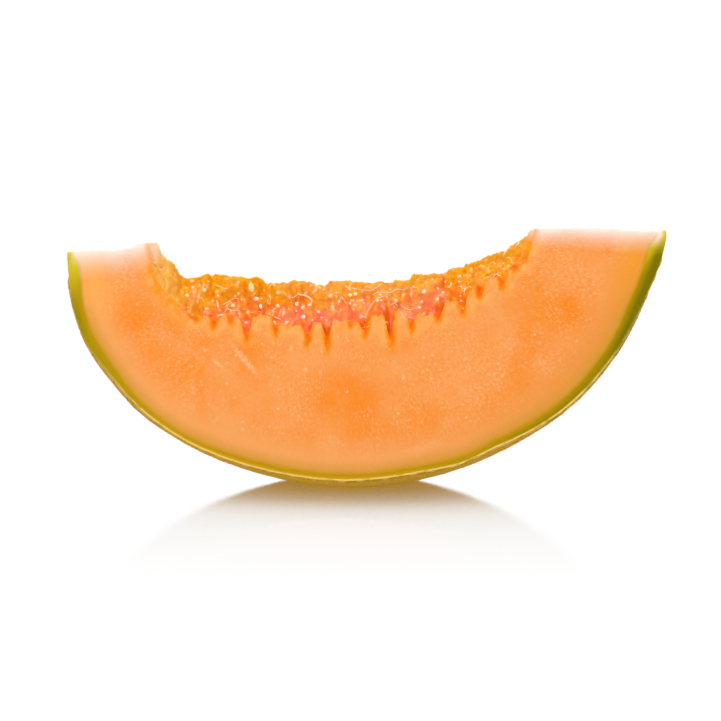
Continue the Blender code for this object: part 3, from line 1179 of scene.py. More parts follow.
@dataclass(frozen=True)
class FleshFinish:
    """Juicy cut flesh, with the green layer and the pale line under the rind, and painted light in its
    colour: a painted glow at the thin top, juice specks painted as glints and two painted reflection bands.
    """

    flesh: tuple = tint(249, 152, 62)
    rich: tuple = tint(250, 136, 20)
    salmon: tuple = tint(249, 163, 92)
    outer_stem: tuple = tint(244, 166, 95)
    outer_blossom: tuple = tint(236, 153, 68)
    tip_stem: tuple = tint(252, 176, 84)
    tip_blossom: tuple = tint(246, 160, 46)
    dull: tuple = tint(214, 154, 54)
    tan: tuple = tint(205, 151, 22)
    green_stem: tuple = tint(138, 114, 2)
    green_left: tuple = tint(172, 146, 5)
    green_low: tuple = tint(184, 150, 4)
    green_gold: tuple = tint(206, 166, 14)
    green_belly: tuple = tint(206, 157, 6)
    green_blossom: tuple = tint(156, 134, 5)
    green_top: tuple = tint(126, 116, 3)
    green_olive: tuple = tint(172, 138, 5)
    green_tip: tuple = tint(222, 198, 38)
    green_inner: tuple = tint(190, 146, 8)
    yellow_inner: tuple = tint(220, 192, 18)
    cream: tuple = tint(238, 204, 112)
    cork: tuple = tint(205, 160, 70)
    # Colour of the painted glow at the thin top.
    pale: tuple = tint(255, 238, 226)
    wet: tuple = tint(248, 150, 22)
    stained: tuple = tint(248, 112, 4)
    tooth: tuple = tint(253, 178, 100)
    speck: tuple = tint(255, 188, 128)
    # Pale colour of the flesh's pale marks, also used for two painted reflection bands and for juice specks
    # painted as glints.
    mark_and_sheen: tuple = tint(255, 218, 176)
    rich_marks: tuple[tuple[float, ...], ...] = (
        (-28.3, 41.8, 5.6, 5.0, 0), (62.0, 51.0, 10.5, 9.0, 0),
        (-1.0, 27.5, 17.0, 12.0, 0), (-61.0, 48.0, 9.0, 9.0, 0),
    )
    # Pale spots and streaks in the flesh; the last two, along the rind at the bottom and at the right, are
    # painted reflection bands.
    pale_and_sheen_marks: tuple[tuple[float, ...], ...] = (
        (-29.2, 37.4, 9.0, 1.3, 48), (-37.0, 36.4, 2.6, 1.0, 40), (-40.4, 39.8, 0.9, 0.8, 0),
        (-16.1, 40.5, 0.8, 1.1, 0), (-12.0, 34.7, 1.2, 0.9, 0), (-7.6, 33.9, 0.8, 1.1, 0),
        (-21.0, 38.2, 1.0, 1.0, 0), (15.7, 32.7, 0.6, 1.2, 0), (20.2, 13.6, 9.5, 2.0, -20),
        (77.9, 50.8, 7.0, 2.4, -60),
    )
    mark_thickness: float = 1000.0
    green_start: float = 0.082
    green_reach: float = 0.172
    widest_green: float = 5.0
    green_widths: Pairs = (
        (0.0, 3.2), (0.010, 2.6), (0.025, 1.5), (0.035, 1.2), (0.050, 1.6), (0.115, 1.7), (0.136, 2.2),
        (0.152, 2.7), (0.163, 3.5), (0.169, 4.3),
    )

    def make(self) -> bpy.types.Material:
        """Builds the material."""
        material, sheet, shader = new_finish("cut flesh")
        within, past = self.green_depth(sheet, self.wavy_depth(sheet))
        colour = self.by_rind(sheet, past, self.mottled(sheet))
        colour = self.near_hollow(sheet, colour)
        colour = self.painted_top_glow(sheet, colour)
        colour = self.green_layer(sheet, within, past, colour)
        colour = self.rind_edge(sheet, colour)
        sheet.feed(shader, {
            "Base Color": colour,
            "Normal": sheet.bump(self.grain(sheet), 0.14 * MM, 0.6),
            "Roughness": 0.5,
            "Specular IOR Level": 0.0,
            "Subsurface Weight": 0.3,
            "Subsurface Radius": (1.0, 0.5, 0.2),
            "Subsurface Scale": 1.4 * MM,
            "Coat Weight": 0.1,
            "Coat Roughness": 0.1,
            "Coat IOR": 1.8,
        })
        return material

    def marked(self, sheet: NodeSheet, marks: tuple[tuple[float, ...], ...]) -> Socket:
        """Share that is 1 in the middle of soft oval marks and 0 outside them.

        Args:
            sheet: The node sheet.
            marks: For each mark its middle along x and z and its half length and width in millimetres,
                and how many degrees it dips.

        Returns:
            The share.
        """
        share = 0.0
        for along, up, half_length, half_width, dip in marks:
            moved = sheet.add("ShaderNodeMapping", {
                "Vector": sheet.here,
                "Location": (along * MM, 0.0, up * MM),
                "Rotation": (0.0, math.radians(dip), 0.0),
                "Scale": (half_length * MM, self.mark_thickness, half_width * MM),
            }, vector_type="TEXTURE").outputs["Vector"]
            distance = sheet.add("ShaderNodeVectorMath", {0: moved}, operation="LENGTH").outputs["Value"]
            share = sheet.calculate("MAXIMUM", share, sheet.share(distance, 1.0, 0.1))
        return share

    def wavy_depth(self, sheet: NodeSheet) -> Socket:
        """Depth below the rind in millimetres, with a slightly uneven line."""
        wave = sheet.minus(sheet.lumps(5 * MM, 3.0), 0.5)
        wave = sheet.times(wave, 0.9)
        amount = sheet.share(sheet.depth, 0.1, 2.0)
        return sheet.calculate("MULTIPLY_ADD", wave, amount, sheet.depth)

    def mottled(self, sheet: NodeSheet) -> Socket:
        """Flesh with richer and paler patches, fibres and fine pale cells, pale marks of which two are
        painted reflection bands, and juice specks painted as glints.
        """
        wide = sheet.share(sheet.lumps(26 * MM, 3.0, 0.6), 0.4, 0.62)
        colour = sheet.blend(wide, self.salmon, self.rich)
        middle = sheet.share(sheet.lumps(6 * MM, 4.0, 0.3), 0.3, 0.7)
        colour = sheet.blend(0.5, colour, sheet.blend(middle, self.salmon, self.flesh))
        streaks = sheet.lumps(MM, 3.0, 0.3, sheet.grain_place((1 / 0.8, 1 / 5.0, 1.0)))
        colour = sheet.blend(sheet.share(streaks, 0.48, 0.72, 0.0, 0.55), colour, self.salmon)
        uneven = sheet.share(middle, 1.0, 0.0, 0.5, 1.0)
        rich = sheet.times(self.marked(sheet, self.rich_marks), uneven)
        colour = sheet.blend(rich, colour, self.rich)
        fine = sheet.lumps(0.6 * MM, 3.0, 0.3, sheet.grain_place((1.0, 0.6, 1.0)))
        strength = sheet.share(sheet.lumps(11 * MM, 2.0, 1.0), 0.4, 0.6, 0.2, 0.6)
        specks = sheet.times(sheet.share(fine, 0.48, 0.7), strength)
        colour = sheet.blend(specks, colour, self.speck)
        colour = sheet.blend(sheet.times(sheet.share(fine, 0.5, 0.28), strength), colour, self.rich)
        grainy = sheet.share(fine, 0.35, 0.65, 0.15, 1.0)
        # Pale marks, two of them painted reflection bands along the rind.
        marks = sheet.times(self.marked(sheet, self.pale_and_sheen_marks), grainy)
        colour = sheet.blend(sheet.times(marks, 0.55), colour, self.mark_and_sheen)
        # Sparse pale dots: specks of juice, painted as glints.
        cells = sheet.cells(2.4 * MM)
        drawn = sheet.add("ShaderNodeSeparateColor", {0: cells.outputs["Color"]}).outputs[0]
        chosen = sheet.share(drawn, 0.72, 0.8)
        dots = sheet.times(sheet.share(cells.outputs["Distance"], 0.2, 0.06), chosen)
        return sheet.blend(sheet.times(dots, 0.6), colour, self.mark_and_sheen)

    def near_hollow(self, sheet: NodeSheet, colour: Socket) -> Socket:
        """Pale teeth between the pits, and flesh deeply coloured by juice under them."""
        distance = sheet.hollow
        patches = sheet.share(sheet.lumps(3.5 * MM, 3.0), 0.35, 0.6, 0.4, 1.0)
        pale = sheet.times(sheet.share(distance, 4.8, 0.6), patches)
        colour = sheet.blend(pale, colour, self.tooth)
        streaks = sheet.lumps(MM, 3.0, 0.4, sheet.stretched((1 / 0.8, 1.0, 1 / 3.5)))
        reach = sheet.share(streaks, 0.42, 0.68, 0.3, 4.0)
        share = sheet.share(sheet.over(distance, reach), 1.0, 0.1, 0.0, 0.6)
        colour = sheet.blend(share, colour, self.wet)
        stain = sheet.times(sheet.measure(STAIN_LAYER), sheet.share(streaks, 0.2, 0.55, 0.5, 1.1))
        colour = sheet.blend(sheet.share(stain, 0.06, 0.6, 0.0, 0.9), colour, self.wet)
        colour = sheet.blend(sheet.share(stain, 0.4, 1.0), colour, self.stained)
        end = sheet.times(sheet.share(sheet.top, 1.5, 3.5), sheet.share(distance, 6.0, 0.5))
        end = sheet.times(end, sheet.share(sheet.x, -0.040, -0.050))
        marks = sheet.share(sheet.lumps(2.2 * MM, 3.0, 1.0), 0.42, 0.62, 0.15, 0.9)
        return sheet.blend(sheet.times(end, marks), colour, self.wet)

    def green_depth(self, sheet: NodeSheet, depth: Socket) -> tuple[Socket, Socket]:
        """How far through the green layer a place is, as a share, and how far past it in millimetres."""
        most = self.widest_green
        widths = tuple((stop, (width / most,) * 3 + (1.0,)) for stop, width in self.green_widths)
        width = sheet.bands(sheet.plus(sheet.x, self.green_start), self.green_reach, widths)
        width = sheet.times(width, sheet.share(sheet.top, 0.0, 5.0, 0.55 * most, most))
        return sheet.over(depth, width), sheet.minus(depth, width)

    def by_rind(self, sheet: NodeSheet, past: Socket, colour: Socket) -> Socket:
        """The outer flesh, duller towards the green layer and richer near the tips."""
        outer = sheet.blend(sheet.share(sheet.x, 0.01, 0.07), self.outer_stem, self.outer_blossom)
        tips = sheet.blend(sheet.share(sheet.x, 0.01, 0.07), self.tip_stem, self.tip_blossom)
        outer = sheet.blend(sheet.share(sheet.top, 28.0, 8.0, 0.0, 0.8), outer, tips)
        colour = sheet.blend(sheet.share(past, 13.0, 3.0, 0.0, 0.9), colour, outer)
        low = sheet.share(sheet.top, 12.0, 26.0, 0.25, 0.9)
        dull = sheet.times(sheet.share(past, 4.6, 0.0), low)
        colour = sheet.blend(dull, colour, self.dull)
        return sheet.blend(sheet.share(past, 1.3, -0.3), colour, self.tan)

    def painted_top_glow(self, sheet: NodeSheet, colour: Socket) -> Socket:
        """Painted glow at the thin top: the flesh is painted fading to white there, as if light came
        through it.
        """
        wave = sheet.minus(sheet.lumps(6 * MM, 2.0), 0.5)
        distance = sheet.calculate("MULTIPLY_ADD", wave, 2.0, sheet.top)
        tip = sheet.share(sheet.x, 0.050, 0.072, 0.0, 0.6)
        reach = sheet.plus(sheet.share(sheet.x, -0.02, 0.03, 5.6, 3.6), tip)
        fade = sheet.calculate("EXPONENT", sheet.over(distance, sheet.times(reach, -1.0)))
        inputs = {"Value": fade, "From Min": 0.2, "From Max": 1.0}
        share = sheet.add("ShaderNodeMapRange", inputs).outputs["Result"]
        clear = sheet.share(sheet.hollow, 0.0, 2.0, 0.3, 1.0)
        return sheet.blend(sheet.times(share, clear), colour, self.pale)

    def green_layer(self, sheet: NodeSheet, within: Socket, past: Socket, flesh: Socket) -> Socket:
        """The green layer, darker outside, golden inside and yellow at the tips, with a painted glow near
        the thin top.
        """
        outer = sheet.bands(sheet.plus(sheet.x, self.green_start), self.green_reach, (
            (0.0, self.green_stem),
            (0.009, self.green_left),
            (0.025, self.green_low),
            (0.035, self.green_gold),
            (0.052, self.green_belly),
            (0.092, self.green_belly),
            (0.115, self.green_low),
            (0.135, self.green_blossom),
            (0.152, self.green_blossom),
            (0.160, self.green_top),
        ))
        top = sheet.top
        height = sheet.over(top, sheet.share(sheet.x, -0.05, 0.05, 20.0, 8.0))
        outer = sheet.blend(sheet.share(height, 1.0, 0.0), outer, self.green_tip)
        inner = sheet.blend(sheet.share(sheet.x, 0.05, 0.07), self.green_inner, self.green_olive)
        inner = sheet.blend(sheet.share(top, 14.0, 2.5), inner, self.yellow_inner)
        green = sheet.blend(sheet.share(within, 0.3, 0.95), outer, inner)
        # Painted glow: the green layer is paled near the thin top, most at the blossom end, as if light
        # came through it.
        light = sheet.times(sheet.share(top, 5.5, 0.0), sheet.share(within, 0.15, 0.8))
        light = sheet.times(light, sheet.share(sheet.x, 0.05, 0.075, 0.4, 0.9))
        green = sheet.blend(light, green, self.pale)
        return sheet.blend(sheet.share(past, 0.45, -0.45), flesh, green)

    def rind_edge(self, sheet: NodeSheet, colour: Socket) -> Socket:
        """The broken pale line at the rind, and the cork of the net where it is cut."""
        belly = sheet.times(sheet.share(sheet.x, -0.075, -0.055), sheet.share(sheet.x, 0.085, 0.065))
        broken = sheet.times(belly, sheet.share(sheet.lumps(3 * MM, 2.0), 0.3, 0.5, 0.4, 1.0))
        line = sheet.times(sheet.share(sheet.depth, 0.6, 0.3), broken)
        colour = sheet.blend(line, colour, self.cream)
        return sheet.blend(sheet.share(sheet.depth, 0.06, -0.06), colour, self.cork)

    def grain(self, sheet: NodeSheet) -> Socket:
        """Relief of the cut surface: fine wet cells and drawn fibres."""
        cells = sheet.lumps(0.7 * MM, 3.0)
        fibres = sheet.lumps(MM, 2.0, 0.0, sheet.grain_place((1 / 0.5, 1 / 3.0, 1.0)))
        return sheet.calculate("MULTIPLY_ADD", fibres, 0.5, cells)


@dataclass(frozen=True)
class PulpFinish:
    """Wet, glassy pulp of the seed hollow, with painted shade and painted light in its colour and a faint
    painted glow.
    """

    golden: tuple = tint(240, 150, 0)
    orange: tuple = tint(238, 112, 0)
    red: tuple = tint(236, 88, 0)
    rim: tuple = tint(246, 168, 10)
    tooth: tuple = tint(250, 168, 70)
    # Flesh colour of the hollow's stem-end wall, made lighter as painted light.
    lit_flesh_wall: tuple = tint(255, 196, 96)
    # Colour of the painted glow at the thin top edges.
    pale: tuple = tint(255, 228, 200)

    def make(self) -> bpy.types.Material:
        """Builds the material."""
        material, sheet, shader = new_finish("seed hollow pulp")
        # Painted shade and light: deep red low behind the near rim, where the pulp is shaded, golden up the
        # far wall and towards both ends, where it is lit; noise makes it uneven.
        across = sheet.axis(sheet.grain_place((1.0, 50.0, 1.0)), "Y")
        uneven = sheet.calculate("MULTIPLY_ADD", sheet.lumps(3.4 * MM, 3.0, 0.6), 1.3, across)
        stem = sheet.share(sheet.x, -0.028, -0.045, 0.0, 0.3)
        blossom = sheet.share(sheet.x, 0.028, 0.042, 0.0, 0.4)
        uneven = sheet.plus(uneven, sheet.minus(sheet.plus(stem, blossom), 0.65))
        colour = sheet.bands(uneven, 1.0, (
            (0.0, self.red),
            (0.16, self.red),
            (0.42, self.orange),
            (0.74, self.golden),
            (1.0, self.rim),
        ))
        # The stem-end wall: flesh-coloured, and lighter as painted light where it lies in shade.
        colour = sheet.blend(sheet.share(sheet.x, -0.046, -0.053, 0.0, 0.85), colour, self.lit_flesh_wall)
        # Painted shade and light: red in the dips of the pulp's grain, golden on its raised parts.
        relief = sheet.measure(RELIEF_LAYER)
        colour = sheet.blend(sheet.share(relief, 0.5, 0.2, 0.0, 0.75), colour, self.red)
        colour = sheet.blend(sheet.share(relief, 0.56, 0.85, 0.0, 0.7), colour, self.rim)
        patches = sheet.lumps(2.6 * MM, 2.0, 0.8, sheet.stretched((1.0, 0.5, 0.5)))
        near = sheet.share(across, 0.3, 0.03, 0.0, 0.7)
        pale = sheet.times(sheet.share(patches, 0.56, 0.66), near)
        colour = sheet.blend(pale, colour, self.tooth)
        # Painted glow: pale where the pulp thins towards the top edges, as if light came through it.
        reach = sheet.share(sheet.x, -0.050, -0.056, 4.0, 8.0)
        top = sheet.over(sheet.top, reach)
        colour = sheet.blend(sheet.share(top, 1.0, 0.1, 0.0, 0.85), colour, self.pale)
        height = sheet.plus(sheet.lumps(1.1 * MM, 2.0, 0.8), sheet.lumps(2.6 * MM, 1.0, 0.5))
        sheet.feed(shader, {
            "Base Color": colour,
            # Emission in the pulp's own colour is a faint painted glow.
            "Emission Color": colour,
            "Normal": sheet.bump(height, 0.45 * MM, 0.6),
            "Roughness": 0.4,
            "Specular IOR Level": 0.0,
            "Subsurface Weight": 0.3,
            "Subsurface Radius": (1.0, 0.4, 0.1),
            "Subsurface Scale": 1.0 * MM,
            "Emission Strength": 0.04,
            "Coat Weight": 0.07,
            "Coat Roughness": 0.06,
            "Coat IOR": 3.0,
        })
        return material


@dataclass(frozen=True)
class RindFinish:
    """Tan rind with a corky raised net."""

    cork: tuple = tint(222, 178, 96)
    cork_dark: tuple = tint(186, 136, 52)
    skin: tuple = tint(206, 152, 38)
    skin_green: tuple = tint(180, 140, 34)
    under: tuple = tint(214, 168, 40)
    middle_height: float = 71.6 * MM

    def make(self) -> bpy.types.Material:
        """Builds the material."""
        material, sheet, shader = new_finish("netted rind")
        cork = sheet.measure(RELIEF_LAYER)
        patches = sheet.share(sheet.lumps(14 * MM, 3.0), 0.4, 0.62)
        under = self.underside(sheet)
        skin = sheet.blend(under, sheet.blend(patches, self.skin, self.skin_green), self.under)
        fine = sheet.lumps(0.5 * MM, 4.0)
        corky = sheet.blend(sheet.share(fine, 0.35, 0.7), self.cork_dark, self.cork)
        corky = sheet.blend(sheet.times(under, 0.75), corky, self.under)
        share = sheet.share(cork, 0.12, 0.5)
        colour = sheet.blend(share, skin, corky)
        dots = sheet.cells(0.9 * MM).outputs["Distance"]
        colour = sheet.blend(sheet.share(dots, 0.22, 0.08, 0.0, 0.35), colour, self.cork)
        height = sheet.times(sheet.lumps(0.3 * MM, 4.0), sheet.share(cork, 0.1, 0.6, 0.35, 1.0))
        sheet.feed(shader, {
            "Base Color": colour,
            "Normal": sheet.bump(height, 0.12 * MM, 0.8),
            "Roughness": sheet.share(cork, 0.1, 0.6, 0.48, 0.8),
            "Specular IOR Level": 0.0,
        })
        return material

    def underside(self, sheet: NodeSheet) -> Socket:
        """Share that is 1 on the rind near the resting spot and 0 along the cut and higher up."""
        height = sheet.axis(sheet.here, "Z")
        side = sheet.over(sheet.axis(sheet.here, "Y"), sheet.minus(self.middle_height, height))
        return sheet.times(sheet.share(side, -0.42, -0.35, 0.0, 0.9), sheet.share(height, 0.026, 0.012))


@dataclass(frozen=True)
class ThreadFinish:
    """Pale wet threads and beads of pulp, with a faint painted glow."""

    colour: tuple = tint(255, 224, 160)
    deep: tuple = tint(254, 188, 100)
    glow: float = 0.2

    def make(self) -> bpy.types.Material:
        """Builds the material."""
        material, sheet, shader = new_finish("pulp shreds")
        uneven = sheet.share(sheet.lumps(2.2 * MM, 2.0), 0.35, 0.65)
        sheet.feed(shader, {
            "Base Color": sheet.blend(uneven, self.deep, self.colour),
            "Roughness": 0.3,
            "Specular IOR Level": 0.0,
            "Coat Weight": 0.07,
            "Coat Roughness": 0.06,
            "Coat IOR": 3.0,
            # Emission is a faint painted glow.
            "Emission Color": self.colour,
            "Emission Strength": self.glow,
        })
        return material


class PulpBed:
    """The wedge's surface, searched for places on the pulp to lay things on."""

    def __init__(
        self,
        wedge: bpy.types.Object,
        stance: Stance,
        cuts: tuple[float, float],
        camera: Camera,
    ) -> None:
        """Prepares the search.

        Args:
            wedge: The finished wedge.
            stance: How it stands.
            cuts: Angles of the near and the far cut.
            camera: The camera whose picture places are looked up.
        """
        vertices = [vertex.co for vertex in wedge.data.vertices]
        faces = [tuple(face.vertices) for face in wedge.data.polygons]
        self.tree = BVHTree.FromPolygons(vertices, faces)
        self.stance = stance
        self.cuts = cuts
        self.camera = camera

    def on_pulp(self, x: float, across: float) -> tuple[Vector, Vector]:
        """Place on the pulp straight out from the cutting line.

        Args:
            x: Place along the cutting line.
            across: Share of the way from the near cut to the far one.

        Returns:
            The place and the direction that its surface faces.
        """
        angle = self.cuts[0] + (self.cuts[1] - self.cuts[0]) * across
        ends = np.array(((x, 0.0, 0.0), (x, math.sin(angle), -math.cos(angle))))
        start, end = (Vector(row) for row in self.stance.place(ends))
        place, normal, _, _ = self.tree.ray_cast(start, end - start)
        return place, normal

    def seen_at(self, across: float, down: float) -> tuple[Vector, Vector] | None:
        """Place on the wedge that the picture shows at these pixels, if there is one."""
        place, normal, _, _ = self.tree.ray_cast(self.camera.place, self.camera.towards(across, down))
        return None if place is None else (place, normal)


@dataclass
class PulpThreads:
    """Pale threads of torn pulp in the seed hollow: those in the picture, and finer ones.

    Each one in the picture has its width and the corners of its line, in pixels.
    """

    bed: PulpBed
    in_picture: tuple[tuple[float, Pairs], ...] = (
        (1.1, ((214, 285), (219, 286), (224, 289), (228, 288))),
        (0.6, ((240, 309), (246, 309), (252, 313), (257, 311), (265, 313), (272, 315), (279, 319))),
        (0.8, ((283, 292), (288, 297), (293, 298), (297, 295))),
        (0.8, ((222, 305), (228, 302), (234, 298), (239, 299))),
        (0.8, ((228, 309), (234, 311), (240, 310))),
        (0.8, ((351, 288), (362, 290), (370, 291), (376, 288), (383, 283))),
        (0.8, (
            (371, 295), (380, 292), (390, 293), (397, 289), (404, 290), (409, 286), (412, 290), (412, 294),
        )),
        (0.9, ((361, 314), (364, 318), (368, 311), (372, 304), (378, 298), (385, 296))),
        (0.8, ((400, 304), (404, 308), (409, 310), (414, 309), (419, 308))),
        (0.8, ((345, 285), (348, 288), (350, 290), (349, 286), (352, 283))),
        (0.9, ((160, 271), (164, 268), (168, 267))),
        (0.8, ((162, 276), (166, 272), (168, 269))),
        (0.8, ((183, 309), (188, 307), (192, 309))),
        (0.8, ((506, 257), (510, 258), (512, 261), (511, 263), (516, 263), (522, 263))),
        (0.8, ((407, 317), (412, 318), (416, 318))),
        (0.8, ((360, 327), (365, 328), (369, 326))),
        (0.8, ((398, 309), (401, 312), (403, 317), (406, 320))),
        (1.6, ((297, 294), (303, 295), (309, 297), (312, 301), (311, 304))),
        (0.9, ((198, 298), (202, 298), (204, 302))),
        (1.5, ((217, 300), (218, 304), (218, 308))),
        (0.9, ((274, 317), (277, 318), (281, 320))),
        (0.8, ((248, 312), (249, 315), (251, 318))),
        (0.8, ((416, 279), (415, 276), (418, 274), (421, 276), (420, 279))),
        (0.7, ((152, 262), (156, 263), (157, 259), (154, 257), (152, 259))),
    )
    pixel: float = 0.284 * MM
    fill: int = 4
    seed: int = 11
    count: int = 30
    reach: tuple[float, float] = (-52.0 * MM, 43.0 * MM)
    lengths: tuple[float, float] = (0.8 * MM, 2.6 * MM)
    thickness: tuple[float, float] = (0.09 * MM, 0.17 * MM)
    points: int = 12
    longest_step: float = 1.6 * MM
    band: tuple[float, float] = (0.08, 0.92)
    held: tuple[float, float] = (0.03, 0.97)
    curl: float = 0.1
    ripple: float = 0.04
    ripple_size: float = 1.1 * MM
    drift: float = 0.6 * MM
    lift: float = 0.6
    thin_end: float = 0.4

    def make(self) -> bpy.types.Object:
        """Lays every thread and joins them into one piece."""
        draw = random.Random(self.seed)
        curve = bpy.data.curves.new("pulp_threads", "CURVE")
        curve.dimensions = "3D"
        curve.bevel_depth = 1.0
        curve.bevel_resolution = 1
        curve.use_fill_caps = True
        for width, corners in self.in_picture:
            for run in self.unbroken(self.seen(corners)):
                self.lay(curve, run, width * self.pixel / 2)
        for _ in range(self.count):
            self.lay(curve, self.scattered(draw), draw.uniform(*self.thickness))
        select_only(put_in_scene("pulp_threads", curve))
        bpy.ops.object.convert(target="MESH")
        bpy.ops.object.mode_set(mode="EDIT")
        bpy.ops.mesh.select_all(action="SELECT")
        bpy.ops.mesh.remove_doubles(threshold=0.001 * MM)
        bpy.ops.object.mode_set(mode="OBJECT")
        bpy.ops.object.shade_smooth()
        return bpy.context.object

    def seen(self, corners: Pairs) -> list[tuple[Vector, Vector]]:
        """Places on the wedge along a rounded line through corners in the picture."""
        path = np.array(corners, dtype=float)
        steps = np.linspace(0, len(path) - 1, (len(path) - 1) * self.fill + 1)
        line = np.stack([np.interp(steps, range(len(path)), path[:, axis]) for axis in (0, 1)], axis=1)
        line[1:-1] = (line[:-2] + line[1:-1] * 2 + line[2:]) / 4
        found = (self.bed.seen_at(*place) for place in line.tolist())
        return [hit for hit in found if hit]

    def unbroken(self, hits: list[tuple[Vector, Vector]]) -> list[list[tuple[Vector, Vector]]]:
        """Splits a line's places where it would cross open air."""
        runs = [hits[:1]]
        for before, hit in zip(hits, hits[1:]):
            if (hit[0] - before[0]).length > self.longest_step:
                runs.append([])
            runs[-1].append(hit)
        return runs

    def scattered(self, draw: random.Random) -> list[tuple[Vector, Vector]]:
        """Places along one short curled thread, somewhere on the pulp."""
        length = draw.uniform(*self.lengths)
        start = draw.uniform(self.reach[0], self.reach[1] - length)
        across = draw.uniform(*self.band)
        curl = draw.uniform(-self.curl, self.curl)
        phase = draw.uniform(0, 100)
        found = []
        for number in range(self.points):
            part = number / (self.points - 1)
            ripple = noise.noise((part * length / self.ripple_size, phase, 0.0))
            drift = noise.noise((part * length / self.ripple_size, phase, 7.0))
            way = across + curl * math.sin(part * math.pi) + self.ripple * ripple
            x = start + part * length + self.drift * drift
            found.append(self.bed.on_pulp(x, min(max(way, self.held[0]), self.held[1])))
        return found

    def lay(self, curve: bpy.types.Curve, hits: list[tuple[Vector, Vector]], thickness: float) -> None:
        """Lays one thread along places on the wedge, half sunk into it, with thin ends."""
        if len(hits) < 3:
            return
        spline = curve.splines.new("POLY")
        spline.points.add(len(hits) - 1)
        for number, (point, (place, normal)) in enumerate(zip(spline.points, hits)):
            part = number / (len(hits) - 1)
            swelling = math.sin(part * math.pi) ** 0.5
            point.co = (*(place + normal * thickness * self.lift), 1.0)
            point.radius = thickness * (self.thin_end + (1 - self.thin_end) * swelling)


